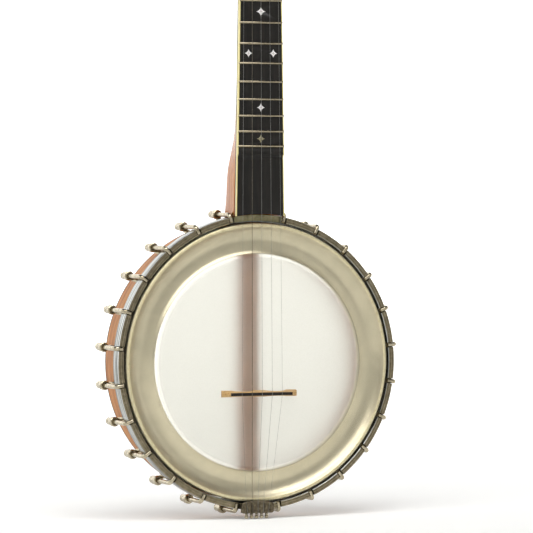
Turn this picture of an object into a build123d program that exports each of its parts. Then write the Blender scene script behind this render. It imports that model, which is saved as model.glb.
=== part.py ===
from build123d import *

import os
from math import asin, cos, radians, sin, sqrt

# An open-back five-string banjo. The origin is on the pot's axis, in the plane of the
# rim's back edge. +Z runs up the neck, -Y faces out of the head, +X is the side of the
# first string. All sizes are in millimetres.

# ---------------------------------------------------------------- driving dimensions
SCALE_LENGTH = 660.4        # nut to bridge, 26 inches
RIM_OUTER_R = 139.7         # an 11 inch pot
RIM_WALL = 12.7
HEAD_Y = -66.8              # front face of the head
FRETBOARD_Y = -74.0         # playing face of the fretboard
BRIDGE_Z = -31.0
HOOK_COUNT = 24
STRING_COUNT = 5
LAST_FRET = 17

# pot
RIM_INNER_R = RIM_OUTER_R - RIM_WALL
CAP_DEPTH = 3.0
RIM_FRONT_Y = -54.0
RIM_SHOULDER_Y = -50.5
SHOULDER_R = 138.2
RING_OUTER_R = 139.5
RING_LIP_R = 109.2
HEAD_FILM = 0.3
COLLAR_R = 140.3
HOOP_INNER_R = 141.9
HOOP_OUTER_R = 147.9
HOOP_FRONT_Y = -66.0
HOOP_BACK_Y = -50.0
HOOP_GROOVE = 0.5
FLESH_OUTER_R = 144.4
FLESH_BACK_Y = -47.0

# bracket hooks, nuts and shoes
FIRST_HOOK_ANGLE = 11.2     # each side of the neck
LAST_HOOK_ANGLE = 171.1     # each side of the tailpiece
HOOK_STEP = (LAST_HOOK_ANGLE - FIRST_HOOK_ANGLE) / (HOOK_COUNT / 2 - 1)
HOOK_R = 2.25
HOOK_CIRCLE_R = 150.65
HOOK_BEND_R = 3.3
HOOK_TOP_Y = -63.55
NOTCH_WIDTH = 5.2
NOTCH_Y = -61.0
EYE_FRONT_Y = -29.0
EYE_BACK_Y = -23.0
EYE_R = 4.9
NUT_END_Y = -9.0
NUT_R = 3.9
SHOE_Y = -37.0
SHOE_BOLT_R = 1.9
SHOE_BASE_R = 6.2

# neck
NECK_TOP_Y = FRETBOARD_Y + 5.8
BOARD_BACK_Y = FRETBOARD_Y + 5.0
VENEER_T = NECK_TOP_Y - BOARD_BACK_Y
BOARD_END_Z = 149.2
BOARD_START_Z = 146.0       # lowest corners of the board, either side of the hoop's curve
HOOP_CLEAR_R = HOOP_OUTER_R + 0.8
NUT_Z = BRIDGE_Z + SCALE_LENGTH
NUT_LENGTH = 5.0
BOARD_HALF_AT_END = 25.9
BOARD_TAPER = 0.0154        # each edge's move towards the centre, per mm of length
NUT_LEFT_X = -13.2
SHELF_BLEND = 26.0          # length over which the neck narrows past the fifth peg
BINDING_W = 1.0
BINDING_DEPTH = 4.0
SCOOP_DEPTH = 1.8
FRET_W = 2.2
FRET_H = 1.1
TANG_W = 0.6
TANG_DEPTH = 1.8
INLAY_T = 0.8

# peghead
PEGHEAD_TILT = 13.0
PEGHEAD_T = 14.0
OVERLAY_T = 1.8
PEGHEAD_LENGTH = 158.0
PEG_HOLE_R = 4.8
PEG_PLACES = ((-20.5, 44.0), (-18.5, 98.0), (18.5, 98.0), (20.5, 44.0))  # strings 4 to 1

# strings: radius of each, fifth first, then fourth to first
STRING_RADII = (0.125, 0.27, 0.17, 0.15, 0.125)
BRIDGE_SPACING = 10.75
BRIDGE_CENTRE_X = -1.8
BRIDGE_HEIGHT = 15.9
TAIL_SPACING = 6.4
TAIL_CENTRE_X = -2.2


def fret_z(number):
    """Height of a fret above the pot's centre, by the rule of equal temperament."""
    return BRIDGE_Z + SCALE_LENGTH * 2 ** (-number / 12)


PIP_X = -18.3
PIP_Z = fret_z(5) + 4.0
PIP_R = 1.6
PIP_HEIGHT = 2.0
FIFTH_PEG_Z = fret_z(5) + 19.0
NUT_STRING_Y = FRETBOARD_Y - 1.5
PIP_STRING_Y = FRETBOARD_Y - 1.75


def half_width(z):
    """Half the fretboard's width below the fifth peg."""
    return BOARD_HALF_AT_END - BOARD_TAPER * (z - BOARD_END_Z)


NUT_RIGHT_X = half_width(NUT_Z)
NUT_CENTRE_X = (NUT_LEFT_X + NUT_RIGHT_X) / 2
NUT_HALF = (NUT_RIGHT_X - NUT_LEFT_X) / 2


def hook_angles():
    """Angles of the hooks round the pot axis, from +Z towards +X."""
    side = [FIRST_HOOK_ANGLE + step * HOOK_STEP for step in range(HOOK_COUNT // 2)]
    return side + [-angle for angle in side]


def radial_plane(angle, radius, y):
    """Plane that faces outwards at a place on the pot's side, with its x running back."""
    turn = radians(angle)
    place = (radius * sin(turn), y, radius * cos(turn))
    return Plane(origin=place, x_dir=(0, 1, 0), z_dir=(sin(turn), 0, cos(turn)))


def around_pot(angles):
    """Placings that carry a piece made at +Z round the pot's axis."""
    return Locations(*[Location((0, 0, 0), (0, angle, 0)) for angle in angles])


def front_plane(y, x=0.0, z=0.0):
    """Plane at depth y, seen from the front: x to the right, y up the neck."""
    return Plane(origin=(x, y, z), x_dir=(1, 0, 0), z_dir=(0, -1, 0))


def level_plane(z, x=0.0, y=0.0):
    """Plane across the neck at height z: x to the right, y running back."""
    return Plane(origin=(x, y, z), x_dir=(1, 0, 0), z_dir=(0, 0, 1))


def side_plane(x=0.0):
    """Plane seen from +X: its x runs back, its y runs up the neck."""
    return Plane(origin=(x, 0, 0), x_dir=(0, 1, 0), z_dir=(1, 0, 0))


def dome_arc(radius, base, height):
    """Arc of a round dome, from its edge at the base to its crown on the axis x = 0."""
    way = 1 if height > 0 else -1
    sphere_r = (radius ** 2 + height ** 2) / (2 * abs(height))
    half_angle = asin(radius / sphere_r) / 2
    centre = base + height - way * sphere_r
    middle = (sphere_r * sin(half_angle), centre + way * sphere_r * cos(half_angle))
    return ThreePointArc((radius, base), middle, (0, base + height))


os.makedirs("parts", exist_ok=True)

# ------------------------------------------------------------------------ rim and cap
STICK_W = 17.0
STICK_D = 18.0
STICK_Y = -38.0
STICK_GAP = 0.2
END_BOLT_R = 2.4
NECK_BOLT_GAP = 0.1

with BuildPart() as rim:
    with BuildSketch(Plane.XY):
        with BuildLine():
            Polyline(
                (RIM_INNER_R, -CAP_DEPTH),
                (RIM_OUTER_R, -CAP_DEPTH),
                (RIM_OUTER_R, RIM_SHOULDER_Y),
                (SHOULDER_R, RIM_SHOULDER_Y),
                (SHOULDER_R, RIM_FRONT_Y),
                (RIM_INNER_R, RIM_FRONT_Y),
                close=True,
            )
        make_face()
    revolve(axis=Axis.Y)
    for angle in hook_angles():
        with BuildSketch(radial_plane(angle, RIM_INNER_R - 2, SHOE_Y)):
            Circle(SHOE_BOLT_R + 0.3)
        extrude(amount=RIM_WALL + 4, mode=Mode.SUBTRACT)
    # the mortise for the dowel stick at the neck, and the end bolt's hole at the tail
    with BuildSketch(level_plane(RIM_INNER_R - 3, y=STICK_Y)):
        Rectangle(STICK_W + 2 * STICK_GAP, STICK_D + 2 * STICK_GAP)
    extrude(amount=RIM_WALL + 6, mode=Mode.SUBTRACT)
    with BuildSketch(level_plane(-RIM_OUTER_R - 2, y=STICK_Y)):
        Circle(END_BOLT_R + NECK_BOLT_GAP)
    extrude(amount=RIM_WALL + 6, mode=Mode.SUBTRACT)
rim.part.label = "rim"
export_step(rim.part, "parts/rim.step")

with BuildPart() as rim_cap:
    with BuildSketch(Plane.XY):
        with BuildLine():
            Polyline(
                (RIM_INNER_R, -CAP_DEPTH),
                (RIM_OUTER_R, -CAP_DEPTH),
                (RIM_OUTER_R, 0),
                (RIM_INNER_R, 0),
                close=True,
            )
        make_face()
    revolve(axis=Axis.Y)
    chamfer(rim_cap.edges().group_by(Axis.Y)[-1], length=0.6)
rim_cap.part.label = "rim_cap"
export_step(rim_cap.part, "parts/rim_cap.step")

# ------------------------------------------------------------- tone ring, head, hoops
# A spun ring: a skirt over the rim's shoulder, a bead under the head, and a dish that
# falls away from the bead and rises again to its inner lip.
BEAD_Y = -66.45
DISH_R = 122.0
with BuildPart() as tone_ring:
    with BuildSketch(Plane.XY):
        with BuildLine():
            Line((RING_OUTER_R, RIM_SHOULDER_Y), (RING_OUTER_R, -64.6))
            ThreePointArc((RING_OUTER_R, -64.6), (137.2, BEAD_Y), (135.6, -65.2))
            ThreePointArc((135.6, -65.2), (DISH_R, -58.7), (RING_LIP_R, -62.5))
            ThreePointArc((RING_LIP_R, -62.5), (RING_LIP_R - 0.6, -61.85), (RING_LIP_R, -61.2))
            ThreePointArc((RING_LIP_R, -61.2), (DISH_R, -57.4), (135.1, -63.5))
            ThreePointArc((135.1, -63.5), (137.1, -65.1), (SHOULDER_R + 0.05, -63.6))
            Line((SHOULDER_R + 0.05, -63.6), (SHOULDER_R + 0.05, RIM_SHOULDER_Y))
            Line((SHOULDER_R + 0.05, RIM_SHOULDER_Y), (RING_OUTER_R, RIM_SHOULDER_Y))
        make_face()
    revolve(axis=Axis.Y)
tone_ring.part.label = "tone_ring"
export_step(tone_ring.part, "parts/tone_ring.step")

# The head is a thin film with a rounded collar that ends in the flesh hoop.
CROWN_CENTRE = (COLLAR_R - 2.5, HEAD_Y + 2.5)
HEAD_EDGE_Y = -47.8
with BuildPart() as drum_head:
    with BuildSketch(Plane.XY):
        with BuildLine():
            outer_top = Line((0, HEAD_Y), (CROWN_CENTRE[0], HEAD_Y))
            RadiusArc(outer_top @ 1, (COLLAR_R, CROWN_CENTRE[1]), radius=-2.5)
            Polyline(
                (COLLAR_R, CROWN_CENTRE[1]),
                (COLLAR_R, HEAD_EDGE_Y),
                (COLLAR_R - HEAD_FILM, HEAD_EDGE_Y),
                (COLLAR_R - HEAD_FILM, CROWN_CENTRE[1]),
            )
            RadiusArc(
                (COLLAR_R - HEAD_FILM, CROWN_CENTRE[1]),
                (CROWN_CENTRE[0], HEAD_Y + HEAD_FILM),
                radius=2.5 - HEAD_FILM,
            )
            Polyline(
                (CROWN_CENTRE[0], HEAD_Y + HEAD_FILM),
                (0, HEAD_Y + HEAD_FILM),
                (0, HEAD_Y),
            )
        make_face()
    revolve(axis=Axis.Y)
drum_head.part.label = "drum_head"
export_step(drum_head.part, "parts/drum_head.step")

with BuildPart() as flesh_hoop:
    with BuildSketch(Plane.XY):
        with BuildLine():
            Polyline(
                (COLLAR_R + 0.05, FLESH_BACK_Y),
                (FLESH_OUTER_R, FLESH_BACK_Y),
                (FLESH_OUTER_R, HOOP_BACK_Y),
                (COLLAR_R + 0.05, HOOP_BACK_Y),
                close=True,
            )
        make_face()
    revolve(axis=Axis.Y)
flesh_hoop.part.label = "flesh_hoop"
export_step(flesh_hoop.part, "parts/flesh_hoop.step")

# The tension hoop has two fine grooves on its front face and a notch for each hook.
# Between the two hooks beside the neck its front face is lower.
NECK_GAP_ANGLE = 9.4
NECK_GAP_Y = -63.4
GROOVE_RADII = (143.6, 146.0)
with BuildPart() as tension_hoop:
    with BuildSketch(Plane.XY):
        with BuildLine():
            Polyline(
                (HOOP_INNER_R, HOOP_BACK_Y),
                (HOOP_OUTER_R, HOOP_BACK_Y),
                (HOOP_OUTER_R, HOOP_FRONT_Y),
                (HOOP_INNER_R, HOOP_FRONT_Y),
                close=True,
            )
        make_face()
        chamfer(vertices().group_by(Axis.Y)[0], length=0.5)
        for radius in GROOVE_RADII:
            with Locations((radius, HOOP_FRONT_Y)):
                Rectangle(0.7, 2 * HOOP_GROOVE, mode=Mode.SUBTRACT)
    revolve(axis=Axis.Y)
    for angle in hook_angles():
        with BuildSketch(radial_plane(angle, HOOP_INNER_R - 2, (NOTCH_Y + HOOP_FRONT_Y - 4) / 2)):
            Rectangle(NOTCH_Y - HOOP_FRONT_Y + 4, NOTCH_WIDTH)
        extrude(amount=HOOP_OUTER_R - HOOP_INNER_R + 4, mode=Mode.SUBTRACT)
    with BuildSketch(front_plane(NECK_GAP_Y)):
        with BuildLine():
            reach = HOOP_OUTER_R + 20
            across = reach * sin(radians(NECK_GAP_ANGLE))
            Polyline((0, 0), (-across, reach), (across, reach), close=True)
        make_face()
    extrude(amount=10, mode=Mode.SUBTRACT)
tension_hoop.part.label = "tension_hoop"
export_step(tension_hoop.part, "parts/tension_hoop.step")

# -------------------------------------------------------- hooks, nuts, shoes and bolts
# Each hook is a round rod. Its end lies in a notch across the hoop, and its shank runs
# back through the shoe's eye to a closed nut.
HOOK_TIP_R = 142.6
HOOK_END_Y = -12.5
with BuildPart() as one_hook:
    with BuildLine() as hook_line:
        Line((0, HOOK_TOP_Y, HOOK_TIP_R), (0, HOOK_TOP_Y, HOOK_CIRCLE_R - HOOK_BEND_R))
        hook_bend_mid = HOOK_BEND_R * sin(radians(45))
        ThreePointArc(
            (0, HOOK_TOP_Y, HOOK_CIRCLE_R - HOOK_BEND_R),
            (0, HOOK_TOP_Y + HOOK_BEND_R - hook_bend_mid, HOOK_CIRCLE_R - HOOK_BEND_R + hook_bend_mid),
            (0, HOOK_TOP_Y + HOOK_BEND_R, HOOK_CIRCLE_R),
        )
        Line((0, HOOK_TOP_Y + HOOK_BEND_R, HOOK_CIRCLE_R), (0, HOOK_END_Y, HOOK_CIRCLE_R))
    with BuildSketch(Plane(origin=(0, HOOK_TOP_Y, HOOK_TIP_R), z_dir=(0, 0, 1))):
        Circle(HOOK_R)
    sweep(path=hook_line.line)
    chamfer(one_hook.edges().group_by(Axis.Z)[0], length=0.6)

with BuildPart() as bracket_hooks:
    with around_pot(hook_angles()):
        add(one_hook.part)
bracket_hooks.part.label = "bracket_hooks"
export_step(bracket_hooks.part, "parts/bracket_hooks.step")

# Closed nut: a hexagon flange against the eye, a waist and a domed end.
NUT_BORE_R = HOOK_R + 0.05
HEX_ACROSS = 8.4
with BuildPart() as one_nut:
    with BuildSketch(Plane(origin=(0, EYE_BACK_Y, HOOK_CIRCLE_R), x_dir=(1, 0, 0), z_dir=(0, 1, 0))):
        RegularPolygon(radius=HEX_ACROSS / 2, side_count=6, major_radius=False)
    extrude(amount=4.5)
    nut_axis = Axis((0, 0, HOOK_CIRCLE_R), (0, 1, 0))
    with BuildSketch(Plane(origin=(0, 0, HOOK_CIRCLE_R), x_dir=(0, 0, 1), z_dir=(-1, 0, 0))):
        with BuildLine():
            Polyline((0, EYE_BACK_Y + 4.5), (3.1, EYE_BACK_Y + 4.5), (3.1, EYE_BACK_Y + 5.6),
                     (NUT_R, EYE_BACK_Y + 6.2), (NUT_R, NUT_END_Y - 2.6))
            dome_arc(NUT_R, NUT_END_Y - 2.6, 2.6)
            Line((0, NUT_END_Y), (0, EYE_BACK_Y + 4.5))
        make_face()
    revolve(axis=nut_axis)
    with BuildSketch(Plane(origin=(0, EYE_BACK_Y - 1, HOOK_CIRCLE_R), x_dir=(1, 0, 0), z_dir=(0, 1, 0))):
        Circle(NUT_BORE_R)
    extrude(amount=HOOK_END_Y - EYE_BACK_Y + 1.3, mode=Mode.SUBTRACT)

with BuildPart() as hook_nuts:
    with around_pot(hook_angles()):
        add(one_nut.part)
hook_nuts.part.label = "hook_nuts"
export_step(hook_nuts.part, "parts/hook_nuts.step")

# Shoe: a round base on the rim, a curved arm and an eye round the hook's shank.
SHOE_SEAT_R = RIM_OUTER_R + 0.05
with BuildPart() as one_shoe:
    with BuildSketch(radial_plane(0, SHOE_SEAT_R, SHOE_Y)):
        Circle(SHOE_BASE_R)
    extrude(amount=2.4)
    chamfer(one_shoe.edges().group_by(Axis.Z)[-1], length=0.9)
    with BuildLine() as arm_line:
        ThreePointArc((0, SHOE_Y, SHOE_SEAT_R + 1.2), (0, -34.0, 144.8), (0, -27.0, 146.6))
    with BuildSketch(Plane(origin=arm_line.line @ 0, z_dir=arm_line.line % 0)):
        Circle(2.5)
    sweep(path=arm_line.line)
    with BuildSketch(Plane(origin=(0, EYE_FRONT_Y, HOOK_CIRCLE_R), z_dir=(0, 1, 0))):
        Circle(EYE_R)
    extrude(amount=EYE_BACK_Y - EYE_FRONT_Y)
    with BuildSketch(Plane(origin=(0, EYE_FRONT_Y - 8, HOOK_CIRCLE_R), z_dir=(0, 1, 0))):
        Circle(HOOK_R + 0.15)
    extrude(amount=EYE_BACK_Y - EYE_FRONT_Y + 12, mode=Mode.SUBTRACT)
    chamfer(one_shoe.edges().filter_by(GeomType.CIRCLE).group_by(Axis.Y)[-1].sort_by(Edge.length)[-1],
            length=0.7)
    with BuildSketch(level_plane(SHOE_SEAT_R, y=SHOE_Y)):
        Rectangle(30, 30)
    extrude(amount=-4, mode=Mode.SUBTRACT)
    with BuildSketch(radial_plane(0, SHOE_SEAT_R - 1, SHOE_Y)):
        Circle(SHOE_BOLT_R + 0.05)
    extrude(amount=3.6, mode=Mode.SUBTRACT)

with BuildPart() as bracket_shoes:
    with around_pot(hook_angles()):
        add(one_shoe.part)
bracket_shoes.part.label = "bracket_shoes"
export_step(bracket_shoes.part, "parts/bracket_shoes.step")

# Each shoe is held from inside the rim by a hexagon bolt on a washer.
WASHER_R = 4.8
WASHER_T = 1.0
WASHER_SEAT_R = sqrt(RIM_INNER_R ** 2 - WASHER_R ** 2) - 0.02
BOLT_HEAD_T = 3.0
with BuildPart() as one_washer:
    with BuildSketch(radial_plane(0, WASHER_SEAT_R - WASHER_T, SHOE_Y)):
        Circle(WASHER_R)
        Circle(SHOE_BOLT_R + 0.2, mode=Mode.SUBTRACT)
    extrude(amount=WASHER_T)

with BuildPart() as shoe_washers:
    with around_pot(hook_angles()):
        add(one_washer.part)
shoe_washers.part.label = "shoe_washers"
export_step(shoe_washers.part, "parts/shoe_washers.step")

with BuildPart() as one_bolt:
    with BuildSketch(radial_plane(0, WASHER_SEAT_R - WASHER_T - BOLT_HEAD_T, SHOE_Y)):
        RegularPolygon(radius=3.5, side_count=6, major_radius=False)
    extrude(amount=BOLT_HEAD_T)
    with BuildSketch(radial_plane(0, WASHER_SEAT_R - WASHER_T, SHOE_Y)):
        Circle(SHOE_BOLT_R)
    extrude(amount=SHOE_SEAT_R + 2.4 - WASHER_SEAT_R + WASHER_T)

with BuildPart() as shoe_bolts:
    with around_pot(hook_angles()):
        add(one_bolt.part)
shoe_bolts.part.label = "shoe_bolts"
export_step(shoe_bolts.part, "parts/shoe_bolts.step")

# -------------------------------------------------------------- dowel stick and braces
# The stick runs from a round tenon in the neck's heel, through the rim's mortise, to
# the inside of the rim at the tail, where the end bolt screws into it.
TENON_R = 8.0
TENON_LENGTH = 30.0
STICK_SHOULDER_Z = RIM_OUTER_R - 0.4
STICK_TAIL_Z = -sqrt(RIM_INNER_R ** 2 - (STICK_W / 2) ** 2) + 0.05
END_BOLT_DEPTH = 22.0
with BuildPart() as dowel_stick:
    with BuildSketch(level_plane(STICK_TAIL_Z, y=STICK_Y)):
        Rectangle(STICK_W, STICK_D)
    extrude(amount=STICK_SHOULDER_Z - STICK_TAIL_Z)
    chamfer(dowel_stick.edges().filter_by(Axis.Z), length=1.5)
    with BuildSketch(level_plane(STICK_SHOULDER_Z, y=STICK_Y)):
        Circle(TENON_R)
    extrude(amount=TENON_LENGTH)
    with BuildSketch(level_plane(STICK_TAIL_Z, y=STICK_Y)):
        Circle(END_BOLT_R + NECK_BOLT_GAP)
    extrude(amount=END_BOLT_DEPTH, mode=Mode.SUBTRACT)
dowel_stick.part.label = "dowel_stick"
export_step(dowel_stick.part, "parts/dowel_stick.step")

# The neck brace is a saddle on the back of the stick with a lug that bears on the rim.
BRACE_T = 2.2
BRACE_LENGTH = 34.0
BRACE_TOP_Z = 124.4
STICK_BACK_Y = STICK_Y + STICK_D / 2
SCREW_PLACES = (BRACE_TOP_Z - 14, BRACE_TOP_Z - 27)
with BuildPart() as neck_brace:
    with BuildSketch(front_plane(STICK_BACK_Y + 0.02 + BRACE_T)):
        with Locations((0, BRACE_TOP_Z - BRACE_LENGTH / 2)):
            RectangleRounded(STICK_W - 3.4, BRACE_LENGTH, 2.5)
    extrude(amount=BRACE_T)
    with BuildSketch(level_plane(BRACE_TOP_Z, y=STICK_BACK_Y + 7.0)):
        RectangleRounded(STICK_W - 3.4, 13.9, 2.5)
    extrude(amount=-3.0)
    with BuildSketch(front_plane(STICK_BACK_Y + 4)):
        with Locations(*[(0, z) for z in SCREW_PLACES]):
            Circle(1.7)
    extrude(amount=8, mode=Mode.SUBTRACT)
    with BuildSketch(level_plane(BRACE_TOP_Z + 1, y=STICK_BACK_Y + 8.5)):
        Circle(2.1)
    extrude(amount=-6, mode=Mode.SUBTRACT)
neck_brace.part.label = "neck_brace"
export_step(neck_brace.part, "parts/neck_brace.step")

# two wood screws into the stick, seated on the saddle
screw_seat_y = STICK_BACK_Y + 0.02 + BRACE_T
with BuildPart() as neck_brace_screws:
    for z in SCREW_PLACES:
        with BuildSketch(Plane(origin=(0, 0, z), x_dir=(1, 0, 0), z_dir=(0, 0, 1))):
            with BuildLine():
                Polyline((0, screw_seat_y - BRACE_T), (1.5, screw_seat_y - BRACE_T), (1.5, screw_seat_y),
                         (3.1, screw_seat_y))
                dome_arc(3.1, screw_seat_y, 1.9)
                Line((0, screw_seat_y + 1.9), (0, screw_seat_y - BRACE_T))
            make_face()
        revolve(axis=Axis((0, 0, z), (0, 1, 0)))
neck_brace_screws.part.label = "neck_brace_screws"
export_step(neck_brace_screws.part, "parts/neck_brace_screws.step")

# The brace's screw pushes on the rim to set the neck's pitch.
with BuildPart() as neck_brace_jack:
    with BuildSketch(level_plane(BRACE_TOP_Z - 9, y=STICK_BACK_Y + 8.5)):
        Circle(2.0)
    extrude(amount=9 + RIM_INNER_R - BRACE_TOP_Z - 0.1)
    with BuildSketch(level_plane(BRACE_TOP_Z - 12, y=STICK_BACK_Y + 8.5)):
        Circle(4.2)
    extrude(amount=3.2)
    chamfer(neck_brace_jack.edges().filter_by(GeomType.CIRCLE).group_by(Axis.Z)[0], length=0.6)
neck_brace_jack.part.label = "neck_brace_jack"
export_step(neck_brace_jack.part, "parts/neck_brace_jack.step")

# --------------------------------------------------------------------------- tailpiece
# A bent strap hangs from the end bolt, passes outside the hoop and carries a ribbed
# plate that reaches over the hoop to the head. The strings' loops sit on its pins.
STRAP_T = 1.4
STRAP_W = 17.0
STRAP_IN_Z = -RIM_OUTER_R - 0.1
STRAP_OUT_Z = -HOOP_OUTER_R - 0.3
PLATE_Y = -69.0
PLATE_T = 2.6
PLATE_LIP_Z = -138.0
PIN_R = 1.6
PIN_END_Z = -156.5
with BuildPart() as tailpiece_hanger:
    with BuildSketch(side_plane(TAIL_CENTRE_X - STRAP_W / 2)):
        with BuildLine():
            Polyline(
                (-29.0, STRAP_IN_Z),
                (-44.4, STRAP_IN_Z),
                (-46.8, STRAP_OUT_Z),
                (PLATE_Y - PLATE_T / 2, STRAP_OUT_Z),
                (PLATE_Y - PLATE_T / 2, STRAP_OUT_Z - STRAP_T),
                (-45.4, STRAP_OUT_Z - STRAP_T),
                (-43.0, STRAP_IN_Z - STRAP_T),
                (-29.0, STRAP_IN_Z - STRAP_T),
                close=True,
            )
        make_face()
    extrude(amount=STRAP_W)
    with BuildSketch(level_plane(STRAP_IN_Z + 1, y=STICK_Y)):
        Circle(END_BOLT_R + NECK_BOLT_GAP)
    extrude(amount=-6, mode=Mode.SUBTRACT)
tailpiece_hanger.part.label = "tailpiece_hanger"
export_step(tailpiece_hanger.part, "parts/tailpiece_hanger.step")

# The plate's outline narrows to the front lip and its face carries four ribs between
# the strings. Its back edge turns down over the strap.
PLATE_BACK_Z = STRAP_OUT_Z - STRAP_T - 0.02
PLATE_SKIRT_Y = -61.0
PLATE_SKIRT_T = 1.2
PLATE_HALF = 17.5
with BuildPart() as tailpiece:
    with BuildSketch(front_plane(PLATE_Y)):
        with BuildLine():
            Polyline(
                (TAIL_CENTRE_X - PLATE_HALF, PLATE_BACK_Z - PLATE_SKIRT_T),
                (TAIL_CENTRE_X + PLATE_HALF, PLATE_BACK_Z - PLATE_SKIRT_T),
                (TAIL_CENTRE_X + PLATE_HALF, PLATE_LIP_Z - 3.0),
            )
            ThreePointArc(
                (TAIL_CENTRE_X + PLATE_HALF, PLATE_LIP_Z - 3.0),
                (TAIL_CENTRE_X, PLATE_LIP_Z),
                (TAIL_CENTRE_X - PLATE_HALF, PLATE_LIP_Z - 3.0),
            )
            Line(
                (TAIL_CENTRE_X - PLATE_HALF, PLATE_LIP_Z - 3.0),
                (TAIL_CENTRE_X - PLATE_HALF, PLATE_BACK_Z - PLATE_SKIRT_T),
            )
        make_face()
        fillet(vertices().group_by(Axis.Z)[0], radius=3.0)
    extrude(amount=PLATE_T)
    fillet(tailpiece.edges().group_by(Axis.Y)[0], radius=0.8)
    with BuildSketch(front_plane(PLATE_SKIRT_Y)):
        with Locations((TAIL_CENTRE_X, PLATE_BACK_Z - PLATE_SKIRT_T / 2)):
            Rectangle(2 * PLATE_HALF - 6, PLATE_SKIRT_T)
    extrude(amount=PLATE_SKIRT_Y - PLATE_Y)
    with BuildSketch(front_plane(PLATE_Y - PLATE_T)):
        with Locations(*[(TAIL_CENTRE_X + (step - 2) * TAIL_SPACING, -144.8) for step in range(STRING_COUNT)]):
            SlotOverall(9.0, 2.2, rotation=90)
    extrude(amount=-0.9, mode=Mode.SUBTRACT)
    # the strap's tongue passes up into the plate
    with BuildSketch(front_plane(PLATE_Y + 0.1)):
        with Locations((TAIL_CENTRE_X, STRAP_OUT_Z - STRAP_T / 2)):
            Rectangle(STRAP_W + 0.1, STRAP_T + 0.06)
    extrude(amount=PLATE_T / 2 + 0.15, mode=Mode.SUBTRACT)
tailpiece.part.label = "tailpiece"
export_step(tailpiece.part, "parts/tailpiece.step")

with BuildPart() as tailpiece_pins:
    for step in range(STRING_COUNT):
        pin_x = TAIL_CENTRE_X + (step - 2) * TAIL_SPACING * 0.84
        pin_top = PLATE_BACK_Z - PLATE_SKIRT_T
        pin_axis = Axis((pin_x, PLATE_Y + PIN_R + 0.2, 0), (0, 0, 1))
        with BuildSketch(Plane(origin=(pin_x, PLATE_Y + PIN_R + 0.2, 0), x_dir=(1, 0, 0), z_dir=(0, -1, 0))):
            with BuildLine():
                Polyline((0, pin_top), (PIN_R - 0.3, pin_top), (PIN_R - 0.3, PIN_END_Z + 3.2),
                         (PIN_R + 0.3, PIN_END_Z + 2.6), (PIN_R + 0.3, PIN_END_Z + 1.2))
                dome_arc(PIN_R + 0.3, PIN_END_Z + 1.2, -1.2)
                Line((0, PIN_END_Z), (0, pin_top))
            make_face()
        revolve(axis=pin_axis)
tailpiece_pins.part.label = "tailpiece_pins"
export_step(tailpiece_pins.part, "parts/tailpiece_pins.step")

# The end bolt passes through the strap and the rim into the dowel stick.
BOLT_SEAT_Z = STRAP_IN_Z - STRAP_T - 0.02
with BuildPart() as end_bolt:
    with BuildSketch(level_plane(BOLT_SEAT_Z - 1.2, y=STICK_Y)):
        Circle(END_BOLT_R)
    extrude(amount=STICK_TAIL_Z + END_BOLT_DEPTH - 2 - BOLT_SEAT_Z + 1.2)
    with BuildSketch(level_plane(BOLT_SEAT_Z - 1.2, y=STICK_Y)):
        RegularPolygon(radius=4.0, side_count=6, major_radius=False)
    extrude(amount=-5.0)
    chamfer(end_bolt.faces().sort_by(Axis.Z)[0].edges(), length=0.6)
end_bolt.part.label = "end_bolt"
export_step(end_bolt.part, "parts/end_bolt.step")

with BuildPart() as end_bolt_washer:
    with BuildSketch(level_plane(BOLT_SEAT_Z - 1.2, y=STICK_Y)):
        Circle(4.9)
        Circle(END_BOLT_R + NECK_BOLT_GAP, mode=Mode.SUBTRACT)
    extrude(amount=1.18)
end_bolt_washer.part.label = "end_bolt_washer"
export_step(end_bolt_washer.part, "parts/end_bolt_washer.step")

# ------------------------------------------------------------------------------ bridge
# Maple with three feet and two arches, under an ebony strip. It is thick at its feet
# and thin at the strings.
FOOT_HALF = 39.8
CREST_LEFT_X = -34.4
CREST_RIGHT_X = 30.8
STRIP_T = 2.4
FOOT_T = 7.0
CREST_T = 3.0
STRIP_Y = HEAD_Y - BRIDGE_HEIGHT + STRIP_T
bridge_feet_y = HEAD_Y - 0.02


def bridge_profile():
    """The bridge's front outline, drawn with y as depth, from the head to the strip."""
    with BuildSketch(Plane(origin=(0, 0, BRIDGE_Z - FOOT_T), x_dir=(1, 0, 0), z_dir=(0, 0, 1))) as outline:
        with BuildLine():
            Polyline(
                (-FOOT_HALF, bridge_feet_y),
                (-FOOT_HALF, bridge_feet_y - 4.0),
                (CREST_LEFT_X - 2.2, STRIP_Y + 3.4),
                (CREST_LEFT_X, STRIP_Y),
                (CREST_RIGHT_X, STRIP_Y),
                (CREST_RIGHT_X + 2.2, STRIP_Y + 3.4),
                (FOOT_HALF, bridge_feet_y - 4.0),
                (FOOT_HALF, bridge_feet_y),
                close=True,
            )
        make_face()
        for centre in (-17.5, 17.5):
            with BuildLine():
                Line((centre - 11.5, bridge_feet_y), (centre + 11.5, bridge_feet_y))
                ThreePointArc(
                    (centre + 11.5, bridge_feet_y),
                    (centre, bridge_feet_y - 7.0),
                    (centre - 11.5, bridge_feet_y),
                )
            make_face(mode=Mode.SUBTRACT)
    return outline


bridge_outline = bridge_profile()
with BuildPart() as bridge:
    add(bridge_outline.sketch)
    extrude(amount=2 * FOOT_T)
    # the two faces taper together towards the strings
    with BuildSketch(side_plane(-FOOT_HALF - 1)):
        with BuildLine():
            Polyline(
                (bridge_feet_y + 1, BRIDGE_Z - FOOT_T / 2),
                (STRIP_Y - 1, BRIDGE_Z - CREST_T / 2),
                (STRIP_Y - 1, BRIDGE_Z + CREST_T / 2),
                (bridge_feet_y + 1, BRIDGE_Z + FOOT_T / 2),
                close=True,
            )
        make_face()
    extrude(amount=2 * FOOT_HALF + 2, mode=Mode.INTERSECT)
bridge.part.label = "bridge"
export_step(bridge.part, "parts/bridge.step")

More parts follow.
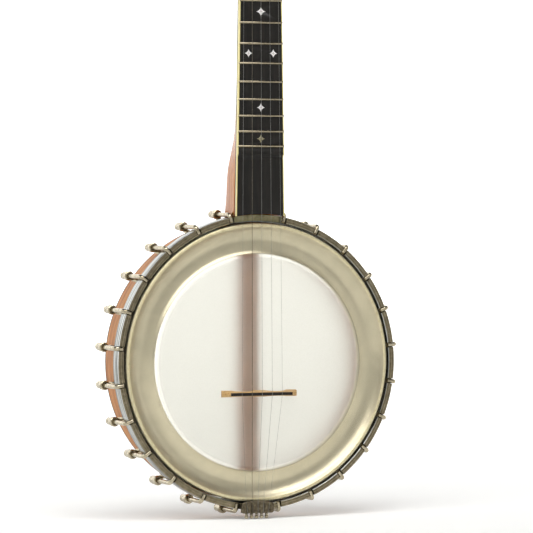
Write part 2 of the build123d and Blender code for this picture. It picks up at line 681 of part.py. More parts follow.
bridge_string_x = [BRIDGE_CENTRE_X + (step - 2) * BRIDGE_SPACING for step in range(STRING_COUNT)]
crest_y = STRIP_Y - STRIP_T
with BuildPart() as bridge_strip:
    with BuildSketch(front_plane(STRIP_Y)):
        with Locations(((CREST_LEFT_X + CREST_RIGHT_X) / 2, BRIDGE_Z)):
            Rectangle(CREST_RIGHT_X - CREST_LEFT_X, CREST_T)
    extrude(amount=STRIP_T)
    with BuildSketch(Plane(origin=(0, crest_y, BRIDGE_Z - CREST_T), x_dir=(1, 0, 0), z_dir=(0, 0, 1))):
        for x, radius in zip(bridge_string_x, STRING_RADII):
            with Locations((x, 0)):
                Circle(radius + 0.12)
    extrude(amount=2 * CREST_T, mode=Mode.SUBTRACT)
bridge_strip.part.label = "bridge_strip"
export_step(bridge_strip.part, "parts/bridge_strip.step")

# -------------------------------------------------------------------------------- neck
# The neck is one piece of wood: a deep heel cut to the rim, a shaft that narrows past
# the fifth peg, and a peghead that leans back.
SHELF_END_Z = FIFTH_PEG_Z + 7.0
HEEL_CAP_Y = -9.0
HEEL_GAP = 0.2
PEGHEAD_START = 14.0
tilt = radians(PEGHEAD_TILT)
peghead_origin = Vector(NUT_CENTRE_X, NECK_TOP_Y, NUT_Z + NUT_LENGTH)
peghead_normal = Vector(0, -cos(tilt), sin(tilt))
peghead_rise = Vector(0, sin(tilt), cos(tilt))


def peghead_plane(lift=0.0):
    """Plane over the peghead's wood face: x across, y up the peghead, z out of its face."""
    return Plane(origin=peghead_origin + peghead_normal * lift, x_dir=(1, 0, 0), z_dir=peghead_normal)


def peghead_point(across, up, lift):
    """A point in the peghead's own directions."""
    return peghead_origin + Vector(across, 0, 0) + peghead_rise * up + peghead_normal * lift


def left_edge(z):
    """Left edge of the neck, with the smooth step above the fifth peg."""
    share = min(max((z - SHELF_END_Z) / SHELF_BLEND, 0.0), 1.0)
    share = share * share * (3 - 2 * share)
    narrow = NUT_LEFT_X - BOARD_TAPER * 0.6 * (NUT_Z - z)
    return -half_width(z) + (narrow + half_width(z)) * share


# The neck's stretches, each a run of heights with how deep the neck is there behind its
# top face: the heel, the shaft, the step past the fifth peg, and the shaft above it.
SHAFT_LEAN = 0.42           # the shaft's sides slope in at once; the heel's go straight back
LEAN_START_Z = 194.0
LEAN_BLEND = 50.0
NECK_STRETCHES = (
    ((138.0, 61.5), (154.0, 61.0), (173.0, 55.5), (194.0, 46.5), (214.0, 36.0), (234.0, 27.3),
     (258.0, 22.2), (300.0, 20.2)),
    ((300.0, 20.2), (SHELF_END_Z, 17.6)),
    tuple((SHELF_END_Z + share * SHELF_BLEND, 17.6 - 0.6 * share) for share in (0, 0.25, 0.5, 0.75, 1)),
    ((SHELF_END_Z + SHELF_BLEND, 17.0), (NUT_Z + NUT_LENGTH, 15.2)),
)


def rounded_section(plane, left, right, depth, cheek=0.78, lean=0.0):
    """Closed profile, flat on top and rounded behind.

    The cheek sets how full it is, and the lean how far its sides slope in at once.
    """
    centre = (left + right) / 2
    half = (right - left) / 2
    with BuildSketch(plane) as profile:
        with BuildLine():
            Line((left, 0), (right, 0))
            Spline(
                (right, 0),
                (centre + cheek * half, 0.66 * depth),
                (centre, depth),
                (centre - cheek * half, 0.66 * depth),
                (left, 0),
                tangents=((-lean, 1), (-lean, -1)),
            )
        make_face()
    return profile.sketch


def peghead_outline(lift, start):
    """Symmetric outline with hollow cheeks and a crest of three lobes."""
    with BuildSketch(peghead_plane(lift)) as outline:
        with BuildLine():
            throat = Line((NUT_HALF + 0.1, start), (NUT_HALF + 0.6, PEGHEAD_START + 2))
            cheek = Spline(throat @ 1, (31.0, 31), (34.5, 46), (30.5, 72), (32.5, 100), (37.0, 124),
                           tangents=((0.2, 1), (0.1, 1)))
            shoulder = Spline(cheek @ 1, (33.5, 136), (24.0, 141), tangents=((0.1, 1), (-1, 0)))
            crest = Spline(shoulder @ 1, (12.0, 149), (0, PEGHEAD_LENGTH), tangents=((-1, 0), (-1, 0)))
            for side in (throat, cheek, shoulder, crest):
                mirror(side, about=Plane.YZ)
            Line((-NUT_HALF - 0.1, start), (NUT_HALF + 0.1, start))
        make_face()
    return outline.sketch


def on_peghead(place, lift, front=True):
    """Plane on a tuner's axis, facing out of the peghead's front or its back."""
    across, up = place
    return Plane(
        origin=peghead_point(across, up, lift),
        x_dir=(1, 0, 0),
        z_dir=peghead_normal if front else peghead_normal * -1,
    )


ROD_Y = NECK_TOP_Y + 7.0
ROD_R = 2.5
ROD_START_Z = 178.0
ROD_END_Z = NUT_Z + NUT_LENGTH + 17.0
ROD_HEX = 5.8               # across the flats
ROD_HEX_LENGTH = 7.0
POCKET_HALF = 4.6
POCKET_START = 5.0
POCKET_END = 34.0
FIFTH_PEG_Y = NECK_TOP_Y + 7.0
FIFTH_STUB_R = 3.5
FIFTH_STUB_DEPTH = 15.0
FIFTH_SIDE_X = -half_width(FIFTH_PEG_Z)

section_at_14 = Plane(
    origin=peghead_point(0, PEGHEAD_START, 0), x_dir=(1, 0, 0), z_dir=peghead_rise
)
with BuildPart() as neck_blank:
    for stretch in NECK_STRETCHES:
        for z, depth in stretch:
            lean = SHAFT_LEAN * min(max((z - LEAN_START_Z) / LEAN_BLEND, 0.0), 1.0)
            add(rounded_section(
                level_plane(z, y=NECK_TOP_Y), left_edge(z), half_width(z), depth, 0.78 - 0.1 * lean, lean))
        loft()
    top_z, top_depth = NECK_STRETCHES[-1][-1]
    add(rounded_section(
        level_plane(top_z, y=NECK_TOP_Y), left_edge(top_z), half_width(top_z), top_depth,
        0.78 - 0.1 * SHAFT_LEAN, SHAFT_LEAN))
    add(rounded_section(section_at_14, -NUT_HALF - 0.5, NUT_HALF + 0.5, PEGHEAD_T, cheek=0.93))
    loft()
    add(peghead_outline(0, PEGHEAD_START - 0.05))
    extrude(amount=PEGHEAD_T, dir=peghead_normal * -1)
    # the heel's face follows the rim, and stands clear of the hoops in front
    with BuildSketch(front_plane(1)):
        Circle(RIM_OUTER_R + HEEL_GAP)
    extrude(amount=80, mode=Mode.SUBTRACT)
    with BuildSketch(front_plane(FLESH_BACK_Y + 1)):
        Circle(HOOP_CLEAR_R)
    extrude(amount=30, mode=Mode.SUBTRACT)
    for angle in (FIRST_HOOK_ANGLE, -FIRST_HOOK_ANGLE):
        with BuildSketch(radial_plane(angle, RIM_OUTER_R - 1, SHOE_Y)):
            Circle(SHOE_BASE_R + 0.8)
        extrude(amount=4.5, mode=Mode.SUBTRACT)
    # socket for the dowel stick's tenon
    with BuildSketch(level_plane(RIM_INNER_R, y=STICK_Y)):
        Circle(TENON_R + 0.05)
    extrude(amount=STICK_SHOULDER_Z + TENON_LENGTH + 1 - RIM_INNER_R, mode=Mode.SUBTRACT)
    # channel for the truss rod, which comes out in a pocket behind the nut
    with BuildSketch(level_plane(ROD_START_Z - 1, x=NUT_CENTRE_X, y=ROD_Y)):
        Circle(ROD_R + 0.1)
    extrude(amount=ROD_END_Z + 2 - ROD_START_Z, mode=Mode.SUBTRACT)
    with BuildSketch(peghead_plane(1)):
        with Locations((0, (POCKET_START + POCKET_END) / 2)):
            SlotOverall(POCKET_END - POCKET_START, 2 * POCKET_HALF, rotation=90)
    extrude(amount=-9.5, mode=Mode.SUBTRACT)
    for place in PEG_PLACES:
        with BuildSketch(on_peghead(place, 2)):
            Circle(PEG_HOLE_R)
        extrude(amount=-PEGHEAD_T - 4, mode=Mode.SUBTRACT)
    # the fifth peg's hole, in the side of the neck
    with BuildSketch(Plane(origin=(FIFTH_SIDE_X - 3, FIFTH_PEG_Y, FIFTH_PEG_Z), z_dir=(1, 0, 0))):
        Circle(FIFTH_STUB_R + 0.05)
    extrude(amount=FIFTH_STUB_DEPTH + 3.5, mode=Mode.SUBTRACT)

with BuildPart() as neck:
    add(neck_blank.part)
    split(bisect_by=Plane.XZ.offset(-HEEL_CAP_Y), keep=Keep.TOP)
neck.part.label = "neck"
export_step(neck.part, "parts/neck.step")

with BuildPart() as heel_cap:
    add(neck_blank.part)
    split(bisect_by=Plane.XZ.offset(-HEEL_CAP_Y), keep=Keep.BOTTOM)
heel_cap.part.label = "heel_cap"
export_step(heel_cap.part, "parts/heel_cap.step")

# The truss rod, with the hexagon that turns it in the pocket behind the nut.
with BuildPart() as truss_rod:
    with BuildSketch(level_plane(ROD_START_Z, x=NUT_CENTRE_X, y=ROD_Y)):
        Circle(ROD_R)
    extrude(amount=ROD_END_Z - ROD_START_Z)
    with BuildSketch(level_plane(ROD_END_Z - ROD_HEX_LENGTH, x=NUT_CENTRE_X, y=ROD_Y)):
        RegularPolygon(radius=ROD_HEX / 2, side_count=6, major_radius=False)
    extrude(amount=ROD_HEX_LENGTH)
truss_rod.part.label = "truss_rod"
export_step(truss_rod.part, "parts/truss_rod.step")

# ------------------------------------------------------- fretboard, binding and veneer
SCOOP_START_Z = fret_z(LAST_FRET) - 8.0
FINGER_STAR = 4.4
LARGE_STAR = 5.0
OCTAVE_SPREAD = 13.2
PEGHEAD_STAR = 9.0
PEGHEAD_STAR_UP = 122.0


def board_outline(y, inset=0.0):
    """Plan of the fretboard at depth y, moved in from its edges by the inset.

    Its end is cut hollow to follow the hoop.
    """
    with BuildSketch(front_plane(y)) as outline:
        with BuildLine():
            lower = Line(
                (-half_width(BOARD_START_Z) + inset, BOARD_START_Z),
                (-half_width(SHELF_END_Z) + inset, SHELF_END_Z),
            )
            blend_top = SHELF_END_Z + SHELF_BLEND
            upper = Line((left_edge(blend_top) + inset, blend_top), (NUT_LEFT_X + inset, NUT_Z))
            Spline(lower @ 1, upper @ 0, tangents=(lower % 1, upper % 0))
            Polyline(
                (NUT_LEFT_X + inset, NUT_Z),
                (NUT_RIGHT_X - inset, NUT_Z),
                (half_width(BOARD_START_Z) - inset, BOARD_START_Z),
                (-half_width(BOARD_START_Z) + inset, BOARD_START_Z),
            )
        make_face()
        Circle(HOOP_CLEAR_R, mode=Mode.SUBTRACT)
    return outline.sketch


def star_outline(plane, places):
    """Four-pointed stars with hollow sides. Each place is x, y and half the width."""
    with BuildSketch(plane) as stars:
        for x, y, half in places:
            waist = half * 0.34
            tips = [(x + half, y), (x, y + half), (x - half, y), (x, y - half)]
            waists = [(x + waist, y + waist), (x - waist, y + waist),
                      (x - waist, y - waist), (x + waist, y - waist)]
            with BuildLine():
                for step in range(4):
                    ThreePointArc(tips[step], waists[step], tips[(step + 1) % 4])
            make_face()
    return stars.sketch


def between_frets(number):
    """Height midway between a fret and the one before it."""
    return (fret_z(number) + fret_z(number - 1)) / 2


def inlay_places():
    """Centres and half widths of the stars, which mark the usual positions."""
    centre_at_third = (left_edge(between_frets(3)) + half_width(between_frets(3))) / 2
    places = [(centre_at_third, between_frets(3), LARGE_STAR)]
    places += [(0, between_frets(number), LARGE_STAR) for number in (5, 7, 10)]
    places += [(0, between_frets(number), FINGER_STAR) for number in (15, 17)]
    places += [(side * OCTAVE_SPREAD, between_frets(12), FINGER_STAR) for side in (-1, 1)]
    return places


with BuildPart() as scoop_cutter:
    # a shallow trough across the end of the board, with a rounded ramp at its top
    with BuildSketch(side_plane(-40)):
        with BuildLine():
            Polyline(
                (FRETBOARD_Y - 3, SCOOP_START_Z),
                (FRETBOARD_Y, SCOOP_START_Z),
            )
            ThreePointArc(
                (FRETBOARD_Y, SCOOP_START_Z),
                (FRETBOARD_Y + 0.72 * SCOOP_DEPTH, SCOOP_START_Z - 1.4),
                (FRETBOARD_Y + SCOOP_DEPTH, SCOOP_START_Z - 5),
            )
            Polyline(
                (FRETBOARD_Y + SCOOP_DEPTH, SCOOP_START_Z - 5),
                (FRETBOARD_Y + SCOOP_DEPTH, BOARD_START_Z - 2),
                (FRETBOARD_Y - 3, BOARD_START_Z - 2),
                (FRETBOARD_Y - 3, SCOOP_START_Z),
            )
        make_face()
    extrude(amount=80)

with BuildPart() as fretboard:
    add(board_outline(BOARD_BACK_Y))
    extrude(amount=5.0 - BINDING_DEPTH, dir=(0, -1, 0))
    add(board_outline(FRETBOARD_Y + BINDING_DEPTH, BINDING_W))
    extrude(amount=BINDING_DEPTH, dir=(0, -1, 0))
    for number in range(1, LAST_FRET + 1):
        with BuildSketch(front_plane(FRETBOARD_Y + TANG_DEPTH + 0.05)):
            with Locations((0, fret_z(number))):
                Rectangle(80, TANG_W + 0.04)
        extrude(amount=TANG_DEPTH + 2, mode=Mode.SUBTRACT)
    add(star_outline(front_plane(FRETBOARD_Y + INLAY_T), inlay_places()))
    extrude(amount=INLAY_T + 1, dir=(0, -1, 0), mode=Mode.SUBTRACT)
    add(scoop_cutter.part, mode=Mode.SUBTRACT)
    with BuildSketch(front_plane(FRETBOARD_Y + 4.0)):
        with Locations((PIP_X, PIP_Z)):
            Circle(PIP_R + 0.02)
    extrude(amount=6, mode=Mode.SUBTRACT)
fretboard.part.label = "fretboard"
export_step(fretboard.part, "parts/fretboard.step")

with BuildPart() as fretboard_binding:
    add(board_outline(FRETBOARD_Y + BINDING_DEPTH))
    extrude(amount=BINDING_DEPTH, dir=(0, -1, 0))
    add(board_outline(FRETBOARD_Y + BINDING_DEPTH + 1, BINDING_W))
    extrude(amount=BINDING_DEPTH + 2, dir=(0, -1, 0), mode=Mode.SUBTRACT)
    # it follows the two long edges only, so its end at the nut is cut away
    with BuildSketch(front_plane(FRETBOARD_Y + BINDING_DEPTH + 1)):
        with Locations((0, NUT_Z)):
            Rectangle(2 * (BOARD_HALF_AT_END + 2), 2 * BINDING_W + 0.02)
    extrude(amount=BINDING_DEPTH + 2, mode=Mode.SUBTRACT)
    add(scoop_cutter.part, mode=Mode.SUBTRACT)
fretboard_binding.part.label = "fretboard_binding"
export_step(fretboard_binding.part, "parts/fretboard_binding.step")

with BuildPart() as board_veneer:
    add(board_outline(NECK_TOP_Y))
    extrude(amount=VENEER_T, dir=(0, -1, 0))
board_veneer.part.label = "board_veneer"
export_step(board_veneer.part, "parts/board_veneer.step")

with BuildPart() as frets:
    for number in range(1, LAST_FRET + 1):
        z = fret_z(number)
        left = left_edge(z) + 0.1
        right = half_width(z) - 0.1
        with BuildSketch(side_plane(left)):
            with BuildLine():
                Line((FRETBOARD_Y, z - FRET_W / 2), (FRETBOARD_Y, z + FRET_W / 2))
                ThreePointArc(
                    (FRETBOARD_Y, z + FRET_W / 2),
                    (FRETBOARD_Y - FRET_H, z),
                    (FRETBOARD_Y, z - FRET_W / 2),
                )
            make_face()
        extrude(amount=right - left)
        tang_left = left + BINDING_W + 0.3
        with BuildSketch(side_plane(tang_left)):
            with Locations((FRETBOARD_Y + TANG_DEPTH / 2, z)):
                Rectangle(TANG_DEPTH, TANG_W)
        extrude(amount=right - BINDING_W - 0.3 - tang_left)
frets.part.label = "frets"
export_step(frets.part, "parts/frets.step")

with BuildPart() as position_inlays:
    add(star_outline(front_plane(FRETBOARD_Y + INLAY_T), inlay_places()))
    extrude(amount=INLAY_T, dir=(0, -1, 0))
    add(star_outline(peghead_plane(OVERLAY_T - INLAY_T), [(0, PEGHEAD_STAR_UP, PEGHEAD_STAR)]))
    extrude(amount=INLAY_T, dir=peghead_normal)
position_inlays.part.label = "position_inlays"
export_step(position_inlays.part, "parts/position_inlays.step")

# --------------------------------------------------------------- nut and fifth-string nut
string_at_nut_x = [NUT_LEFT_X + 3.4 + step * (2 * NUT_HALF - 6.8) / 3 for step in range(4)]

with BuildPart() as string_nut:
    with BuildSketch(side_plane(NUT_LEFT_X + 0.2)):
        with BuildLine():
            Polyline(
                (NECK_TOP_Y, NUT_Z + 0.02),
                (NUT_STRING_Y - 0.5, NUT_Z + 0.02),
                (NUT_STRING_Y - 0.1, NUT_Z + NUT_LENGTH - 0.9),
                (NUT_STRING_Y + 0.6, NUT_Z + NUT_LENGTH - 0.02),
                (NECK_TOP_Y, NUT_Z + NUT_LENGTH - 0.02),
                close=True,
            )
        make_face()
    extrude(amount=2 * NUT_HALF - 0.4)
    for x, radius in zip(string_at_nut_x, STRING_RADII[1:]):
        with BuildSketch(level_plane(NUT_Z - 1, x=x, y=NUT_STRING_Y)):
            Circle(radius + 0.08)
            with Locations((0, -1.0)):
                Rectangle(2 * radius + 0.16, 2.0)
        extrude(amount=NUT_LENGTH + 2, mode=Mode.SUBTRACT)
string_nut.part.label = "string_nut"
export_step(string_nut.part, "parts/string_nut.step")

with BuildPart() as fifth_string_pip:
    with BuildSketch(front_plane(FRETBOARD_Y + 4.0)):
        with Locations((PIP_X, PIP_Z)):
            Circle(PIP_R)
    extrude(amount=4.0 + PIP_HEIGHT)
    with BuildSketch(level_plane(PIP_Z - 4, x=PIP_X, y=PIP_STRING_Y)):
        Circle(STRING_RADII[0] + 0.15)
        with Locations((0, -1.0)):
            Rectangle(2 * STRING_RADII[0] + 0.3, 2.0)
    extrude(amount=8, mode=Mode.SUBTRACT)
fifth_string_pip.part.label = "fifth_string_pip"
export_step(fifth_string_pip.part, "parts/fifth_string_pip.step")

# ----------------------------------------------------------- peghead overlay and cover
COVER_T = 2.0
COVER_PLACES = (7.5, 39.0)


def cover_outline(lift):
    """A bell-shaped cover, wide at the nut."""
    with BuildSketch(peghead_plane(lift)) as outline:
        with BuildLine():
            foot = Line((-8.5, 3.0), (8.5, 3.0))
            right = Spline(foot @ 1, (6.2, 22.0), (5.0, 38.0), tangents=((0, 1), (0, 1)))
            ThreePointArc(right @ 1, (0, 43.5), (-5.0, 38.0))
            Spline((-5.0, 38.0), (-6.2, 22.0), foot @ 0, tangents=((0, -1), (0, -1)))
        make_face()
    return outline.sketch


with BuildPart() as peghead_overlay:
    add(peghead_outline(0, 0.05))
    extrude(amount=OVERLAY_T, dir=peghead_normal)
    for place in PEG_PLACES:
        with BuildSketch(on_peghead(place, -1)):
            Circle(PEG_HOLE_R)
        extrude(amount=OVERLAY_T + 2, mode=Mode.SUBTRACT)
    with BuildSketch(peghead_plane(-1)):
        with Locations((0, (POCKET_START + POCKET_END) / 2)):
            SlotOverall(POCKET_END - POCKET_START, 2 * POCKET_HALF, rotation=90)
    extrude(amount=OVERLAY_T + 2, mode=Mode.SUBTRACT)
    add(star_outline(peghead_plane(OVERLAY_T - INLAY_T), [(0, PEGHEAD_STAR_UP, PEGHEAD_STAR)]))
    extrude(amount=INLAY_T + 1, dir=peghead_normal, mode=Mode.SUBTRACT)
peghead_overlay.part.label = "peghead_overlay"
export_step(peghead_overlay.part, "parts/peghead_overlay.step")

with BuildPart() as truss_rod_cover:
    add(cover_outline(OVERLAY_T + 0.02))
    extrude(amount=COVER_T, dir=peghead_normal)
truss_rod_cover.part.label = "truss_rod_cover"
export_step(truss_rod_cover.part, "parts/truss_rod_cover.step")

# ------------------------------------------------------------------------------ tuners
# Planetary tuners. The button turns a sun wheel, three planet wheels roll between it
# and the ring inside the housing, and their carrier is the foot of the string post.
# The wheels have equal pitch radii and the ring three times as much, so the post
# turns once for four turns of the button.
SUN_R = 2.2
PLANET_R = SUN_R - 0.04
ORBIT_R = 2 * SUN_R
RING_R = 3 * SUN_R
POST_R = 3.0
SLEEVE_R = 4.7
HOUSING_R = 8.8
HOUSING_BACK = 28.5         # depth of the housing's end behind the peghead's face
CAVITY_TOP = 16.5
CAVITY_END = 26.5
SHAFT_R = 2.0
RUNNING_GAP = 0.06
WRAP_LIFT = 6.3
POST_TOP = 17.0
BUTTON_START = 32.0
BUTTON_LENGTH = 16.0
back_of_head = PEGHEAD_T

with BuildPart() as tuner_housings:
    for place in PEG_PLACES:
        with BuildSketch(on_peghead(place, -back_of_head - 0.02, front=False)):
            Circle(HOUSING_R)
        extrude(amount=HOUSING_BACK - back_of_head)
        with BuildSketch(on_peghead(place, -back_of_head - 1)):
            Circle(SLEEVE_R)
        extrude(amount=back_of_head + 1 + 4.0)
        with BuildSketch(on_peghead(place, -CAVITY_TOP, front=False)):
            Circle(RING_R)
        extrude(amount=CAVITY_END - CAVITY_TOP, mode=Mode.SUBTRACT)
        with BuildSketch(on_peghead(place, -CAVITY_TOP - 1)):
            Circle(POST_R + RUNNING_GAP)
        extrude(amount=CAVITY_TOP + 8, mode=Mode.SUBTRACT)
        with BuildSketch(on_peghead(place, -CAVITY_END + 1, front=False)):
            Circle(SHAFT_R + RUNNING_GAP)
        extrude(amount=6, mode=Mode.SUBTRACT)
    chamfer(
        tuner_housings.edges().filter_by(GeomType.CIRCLE).filter_by(lambda e: abs(e.radius - HOUSING_R) < 0.01),
        length=0.9,
    )
tuner_housings.part.label = "tuner_housings"
export_step(tuner_housings.part, "parts/tuner_housings.step")

with BuildPart() as tuner_bushing_nuts:
    for place in PEG_PLACES:
        with BuildSketch(on_peghead(place, OVERLAY_T + 0.02)):
            Circle(7.2)
            Circle(SLEEVE_R + 0.02, mode=Mode.SUBTRACT)
        extrude(amount=0.8)
        with BuildSketch(on_peghead(place, OVERLAY_T + 0.8)):
            RegularPolygon(radius=5.8, side_count=6, major_radius=False)
            Circle(SLEEVE_R + 0.02, mode=Mode.SUBTRACT)
        extrude(amount=2.2)
tuner_bushing_nuts.part.label = "tuner_bushing_nuts"
export_step(tuner_bushing_nuts.part, "parts/tuner_bushing_nuts.step")


def planet_places():
    """The planets' places round a tuner's axis."""
    return PolarLocations(ORBIT_R, 3)


def make_post(place):
    """String post with its carrier and the planets' three pins."""
    with BuildPart() as post:
        with BuildSketch(on_peghead(place, -CAVITY_TOP - 2.4)):
            Circle(RING_R - 0.5)
        extrude(amount=1.8)
        with BuildSketch(on_peghead(place, -CAVITY_TOP - 1.5)):
            Circle(POST_R)
        extrude(amount=CAVITY_TOP + 1.5 + POST_TOP)
        chamfer(post.edges().filter_by(GeomType.CIRCLE).sort_by(Axis(peghead_origin, peghead_normal))[-1],
                length=0.8)
        with BuildSketch(on_peghead(place, -CAVITY_TOP - 2.0, front=False)):
            with planet_places():
                Circle(0.8)
        extrude(amount=5.2)
        hole = Plane(origin=peghead_point(place[0] - 5, place[1], WRAP_LIFT + 2.4), z_dir=(1, 0, 0))
        with BuildSketch(hole):
            Circle(0.75)
        extrude(amount=10, mode=Mode.SUBTRACT)
    return post


def make_planets(place):
    """Three planet wheels on the carrier's pins."""
    with BuildPart() as planets:
        with BuildSketch(on_peghead(place, -CAVITY_TOP - 2.9, front=False)):
            with planet_places():
                Circle(PLANET_R)
                Circle(0.85, mode=Mode.SUBTRACT)
        extrude(amount=4.0)
    return planets


def make_shaft(place):
    """Button shaft with the sun wheel at its inner end and a collar outside the housing."""
    with BuildPart() as shaft:
        with BuildSketch(on_peghead(place, -CAVITY_TOP - 2.9, front=False)):
            Circle(SUN_R - 0.04)
        extrude(amount=4.6)
        with BuildSketch(on_peghead(place, -CAVITY_TOP - 4, front=False)):
            Circle(SHAFT_R)
        extrude(amount=BUTTON_START + BUTTON_LENGTH - 1.5 - CAVITY_TOP - 4)
        with BuildSketch(on_peghead(place, -HOUSING_BACK - 0.3, front=False)):
            Circle(4.2)
        extrude(amount=BUTTON_START - HOUSING_BACK - 0.32)
    return shaft


def make_button(plane_of):
    """Flattened oval button, bored for the shaft. plane_of gives a plane at a distance."""
    middle = plane_of(BUTTON_START + BUTTON_LENGTH / 2)
    across = Plane(origin=middle.origin, x_dir=middle.x_dir, z_dir=middle.y_dir)
    with BuildPart() as button:
        with BuildSketch(across):
            Ellipse(11.0, BUTTON_LENGTH / 2)
        extrude(amount=4.3, both=True)
        fillet(button.edges(), radius=2.6)
        with BuildSketch(plane_of(BUTTON_START - 1)):
            Circle(3.4)
        extrude(amount=4.0)
        with BuildSketch(plane_of(BUTTON_START - 2)):
            Rectangle(30, 30)
        extrude(amount=2.0, mode=Mode.SUBTRACT)
        with BuildSketch(plane_of(BUTTON_START - 2)):
            Circle(SHAFT_R + 0.02)
        extrude(amount=BUTTON_LENGTH + 0.5, mode=Mode.SUBTRACT)
    return button


# Numbered by string: the left pair of posts hold the fourth and third strings.
for place, number in zip(PEG_PLACES, (4, 3, 2, 1)):
    post = make_post(place)
    post.part.label = f"tuner_post_{number}"
    export_step(post.part, f"parts/tuner_post_{number}.step")

    planets = make_planets(place)
    planets.part.label = f"planet_wheels_{number}"
    export_step(planets.part, f"parts/planet_wheels_{number}.step")

    shaft = make_shaft(place)
    shaft.part.label = f"tuner_shaft_{number}"
    export_step(shaft.part, f"parts/tuner_shaft_{number}.step")

    button = make_button(lambda distance: on_peghead(place, -distance, front=False))
    button.part.label = f"tuner_button_{number}"
    export_step(button.part, f"parts/tuner_button_{number}.step")

# The fifth peg stands out of the neck's left side. A stub pressed into the neck
# carries a fixed core, the string post turns on the core, and a housing closes its end.
FIFTH_CORE_R = 1.4
FIFTH_POST_LENGTH = 7.0
FIFTH_HOUSING_LENGTH = 9.0
fifth_post_x = FIFTH_SIDE_X - 1.7
fifth_housing_x = fifth_post_x - FIFTH_POST_LENGTH - 0.2


def fifth_peg_plane(x):
    """Plane on the fifth peg's axis that faces away from the neck."""
    return Plane(origin=(x, FIFTH_PEG_Y, FIFTH_PEG_Z), x_dir=(0, 0, 1), z_dir=(-1, 0, 0))


with BuildPart() as fifth_peg_housing:
    with BuildSketch(fifth_peg_plane(FIFTH_SIDE_X + FIFTH_STUB_DEPTH)):
        Circle(FIFTH_STUB_R)
    extrude(amount=FIFTH_STUB_DEPTH + 0.2)
    with BuildSketch(fifth_peg_plane(FIFTH_SIDE_X - 0.1)):
        Circle(4.6)
    extrude(amount=1.4)
    with BuildSketch(fifth_peg_plane(FIFTH_SIDE_X)):
        Circle(FIFTH_CORE_R)
    extrude(amount=FIFTH_SIDE_X - fifth_housing_x + 1)
    with BuildSketch(fifth_peg_plane(fifth_housing_x)):
        Circle(6.2)
    extrude(amount=FIFTH_HOUSING_LENGTH)
    chamfer(fifth_peg_housing.edges().filter_by(GeomType.CIRCLE).sort_by(Axis.X)[0], length=1.0)
    with BuildSketch(fifth_peg_plane(fifth_housing_x - FIFTH_HOUSING_LENGTH + 5.0)):
        Circle(SHAFT_R + RUNNING_GAP)
    extrude(amount=6, mode=Mode.SUBTRACT)
fifth_peg_housing.part.label = "fifth_peg_housing"
export_step(fifth_peg_housing.part, "parts/fifth_peg_housing.step")

with BuildPart() as fifth_peg_post:
    with BuildSketch(fifth_peg_plane(fifth_post_x)):
        Circle(POST_R)
        Circle(FIFTH_CORE_R + RUNNING_GAP, mode=Mode.SUBTRACT)
    extrude(amount=FIFTH_POST_LENGTH)
    for x in (fifth_post_x, fifth_post_x - FIFTH_POST_LENGTH + 0.9):
        with BuildSketch(fifth_peg_plane(x)):
            Circle(4.3)
            Circle(FIFTH_CORE_R + RUNNING_GAP, mode=Mode.SUBTRACT)
        extrude(amount=0.9)
fifth_peg_post.part.label = "fifth_peg_post"
export_step(fifth_peg_post.part, "parts/fifth_peg_post.step")


def fifth_button_plane(distance):
    """Plane at a distance from where a tuner's button would be measured."""
    return fifth_peg_plane(fifth_housing_x - FIFTH_HOUSING_LENGTH + BUTTON_START - 2.5 - distance)


fifth_peg_button = make_button(fifth_button_plane)
with BuildPart() as fifth_button_and_shaft:
    add(fifth_peg_button.part)
    with BuildSketch(fifth_peg_plane(fifth_housing_x - FIFTH_HOUSING_LENGTH + 4.5)):
        Circle(SHAFT_R)
    extrude(amount=BUTTON_LENGTH + 4)
    with BuildSketch(fifth_peg_plane(fifth_housing_x - FIFTH_HOUSING_LENGTH - 0.3)):
        Circle(4.0)
    extrude(amount=2.3)
fifth_button_and_shaft.part.label = "fifth_peg_button"
export_step(fifth_button_and_shaft.part, "parts/fifth_peg_button.step")

# ----------------------------------------------------------------------------- strings
# Each string is one length, from its loop on a tailpiece pin, over the plate and the
# bridge, to its nut and the wraps on its post.
PIN_AXIS_Y = PLATE_Y + PIN_R + 0.2
LOOP_Z = PLATE_BACK_Z - PLATE_SKIRT_T - 1.0
WRAP_GAP = 0.08
WRAPS = 3


def string_route(step, radius):
    """Corner points that all five strings share, from the tailpiece to the bridge."""
    tail_x = TAIL_CENTRE_X + (step - 2) * TAIL_SPACING
    pin_x = TAIL_CENTRE_X + (step - 2) * TAIL_SPACING * 0.84
    face_y = PLATE_Y - PLATE_T - radius - 0.06
    loop_y = PIN_AXIS_Y - (PIN_R - 0.3) - radius - 0.04
    return [
        (pin_x, loop_y, LOOP_Z),
        (pin_x, face_y - 0.2, LOOP_Z - 0.1),
        (tail_x, face_y, PLATE_LIP_Z + 0.6),
        (bridge_string_x[step], crest_y - 0.02, BRIDGE_Z),
    ]


def make_string(step, radius, points, radii, wrap_plane, wrap_radius):
    """A string along its route, with a loop at the pin and wraps round its post."""
    with BuildPart() as string:
        with BuildLine() as route:
            FilletPolyline(*points, radius=radii)
        with BuildSketch(Plane(origin=route.line @ 0, z_dir=route.line % 0)):
            Circle(radius)
        sweep(path=route.line)
        pin_x = TAIL_CENTRE_X + (step - 2) * TAIL_SPACING * 0.84
        loop_radius = PIN_R - 0.3 + radius + 0.04
        with Locations(Plane(origin=(pin_x, PIN_AXIS_Y, LOOP_Z), z_dir=(0, 0, 1))):
            Torus(loop_radius, radius)
        for turn in range(WRAPS):
            with Locations(wrap_plane.offset(-turn * 1.8 * radius)):
                Torus(wrap_radius, radius)
    return string


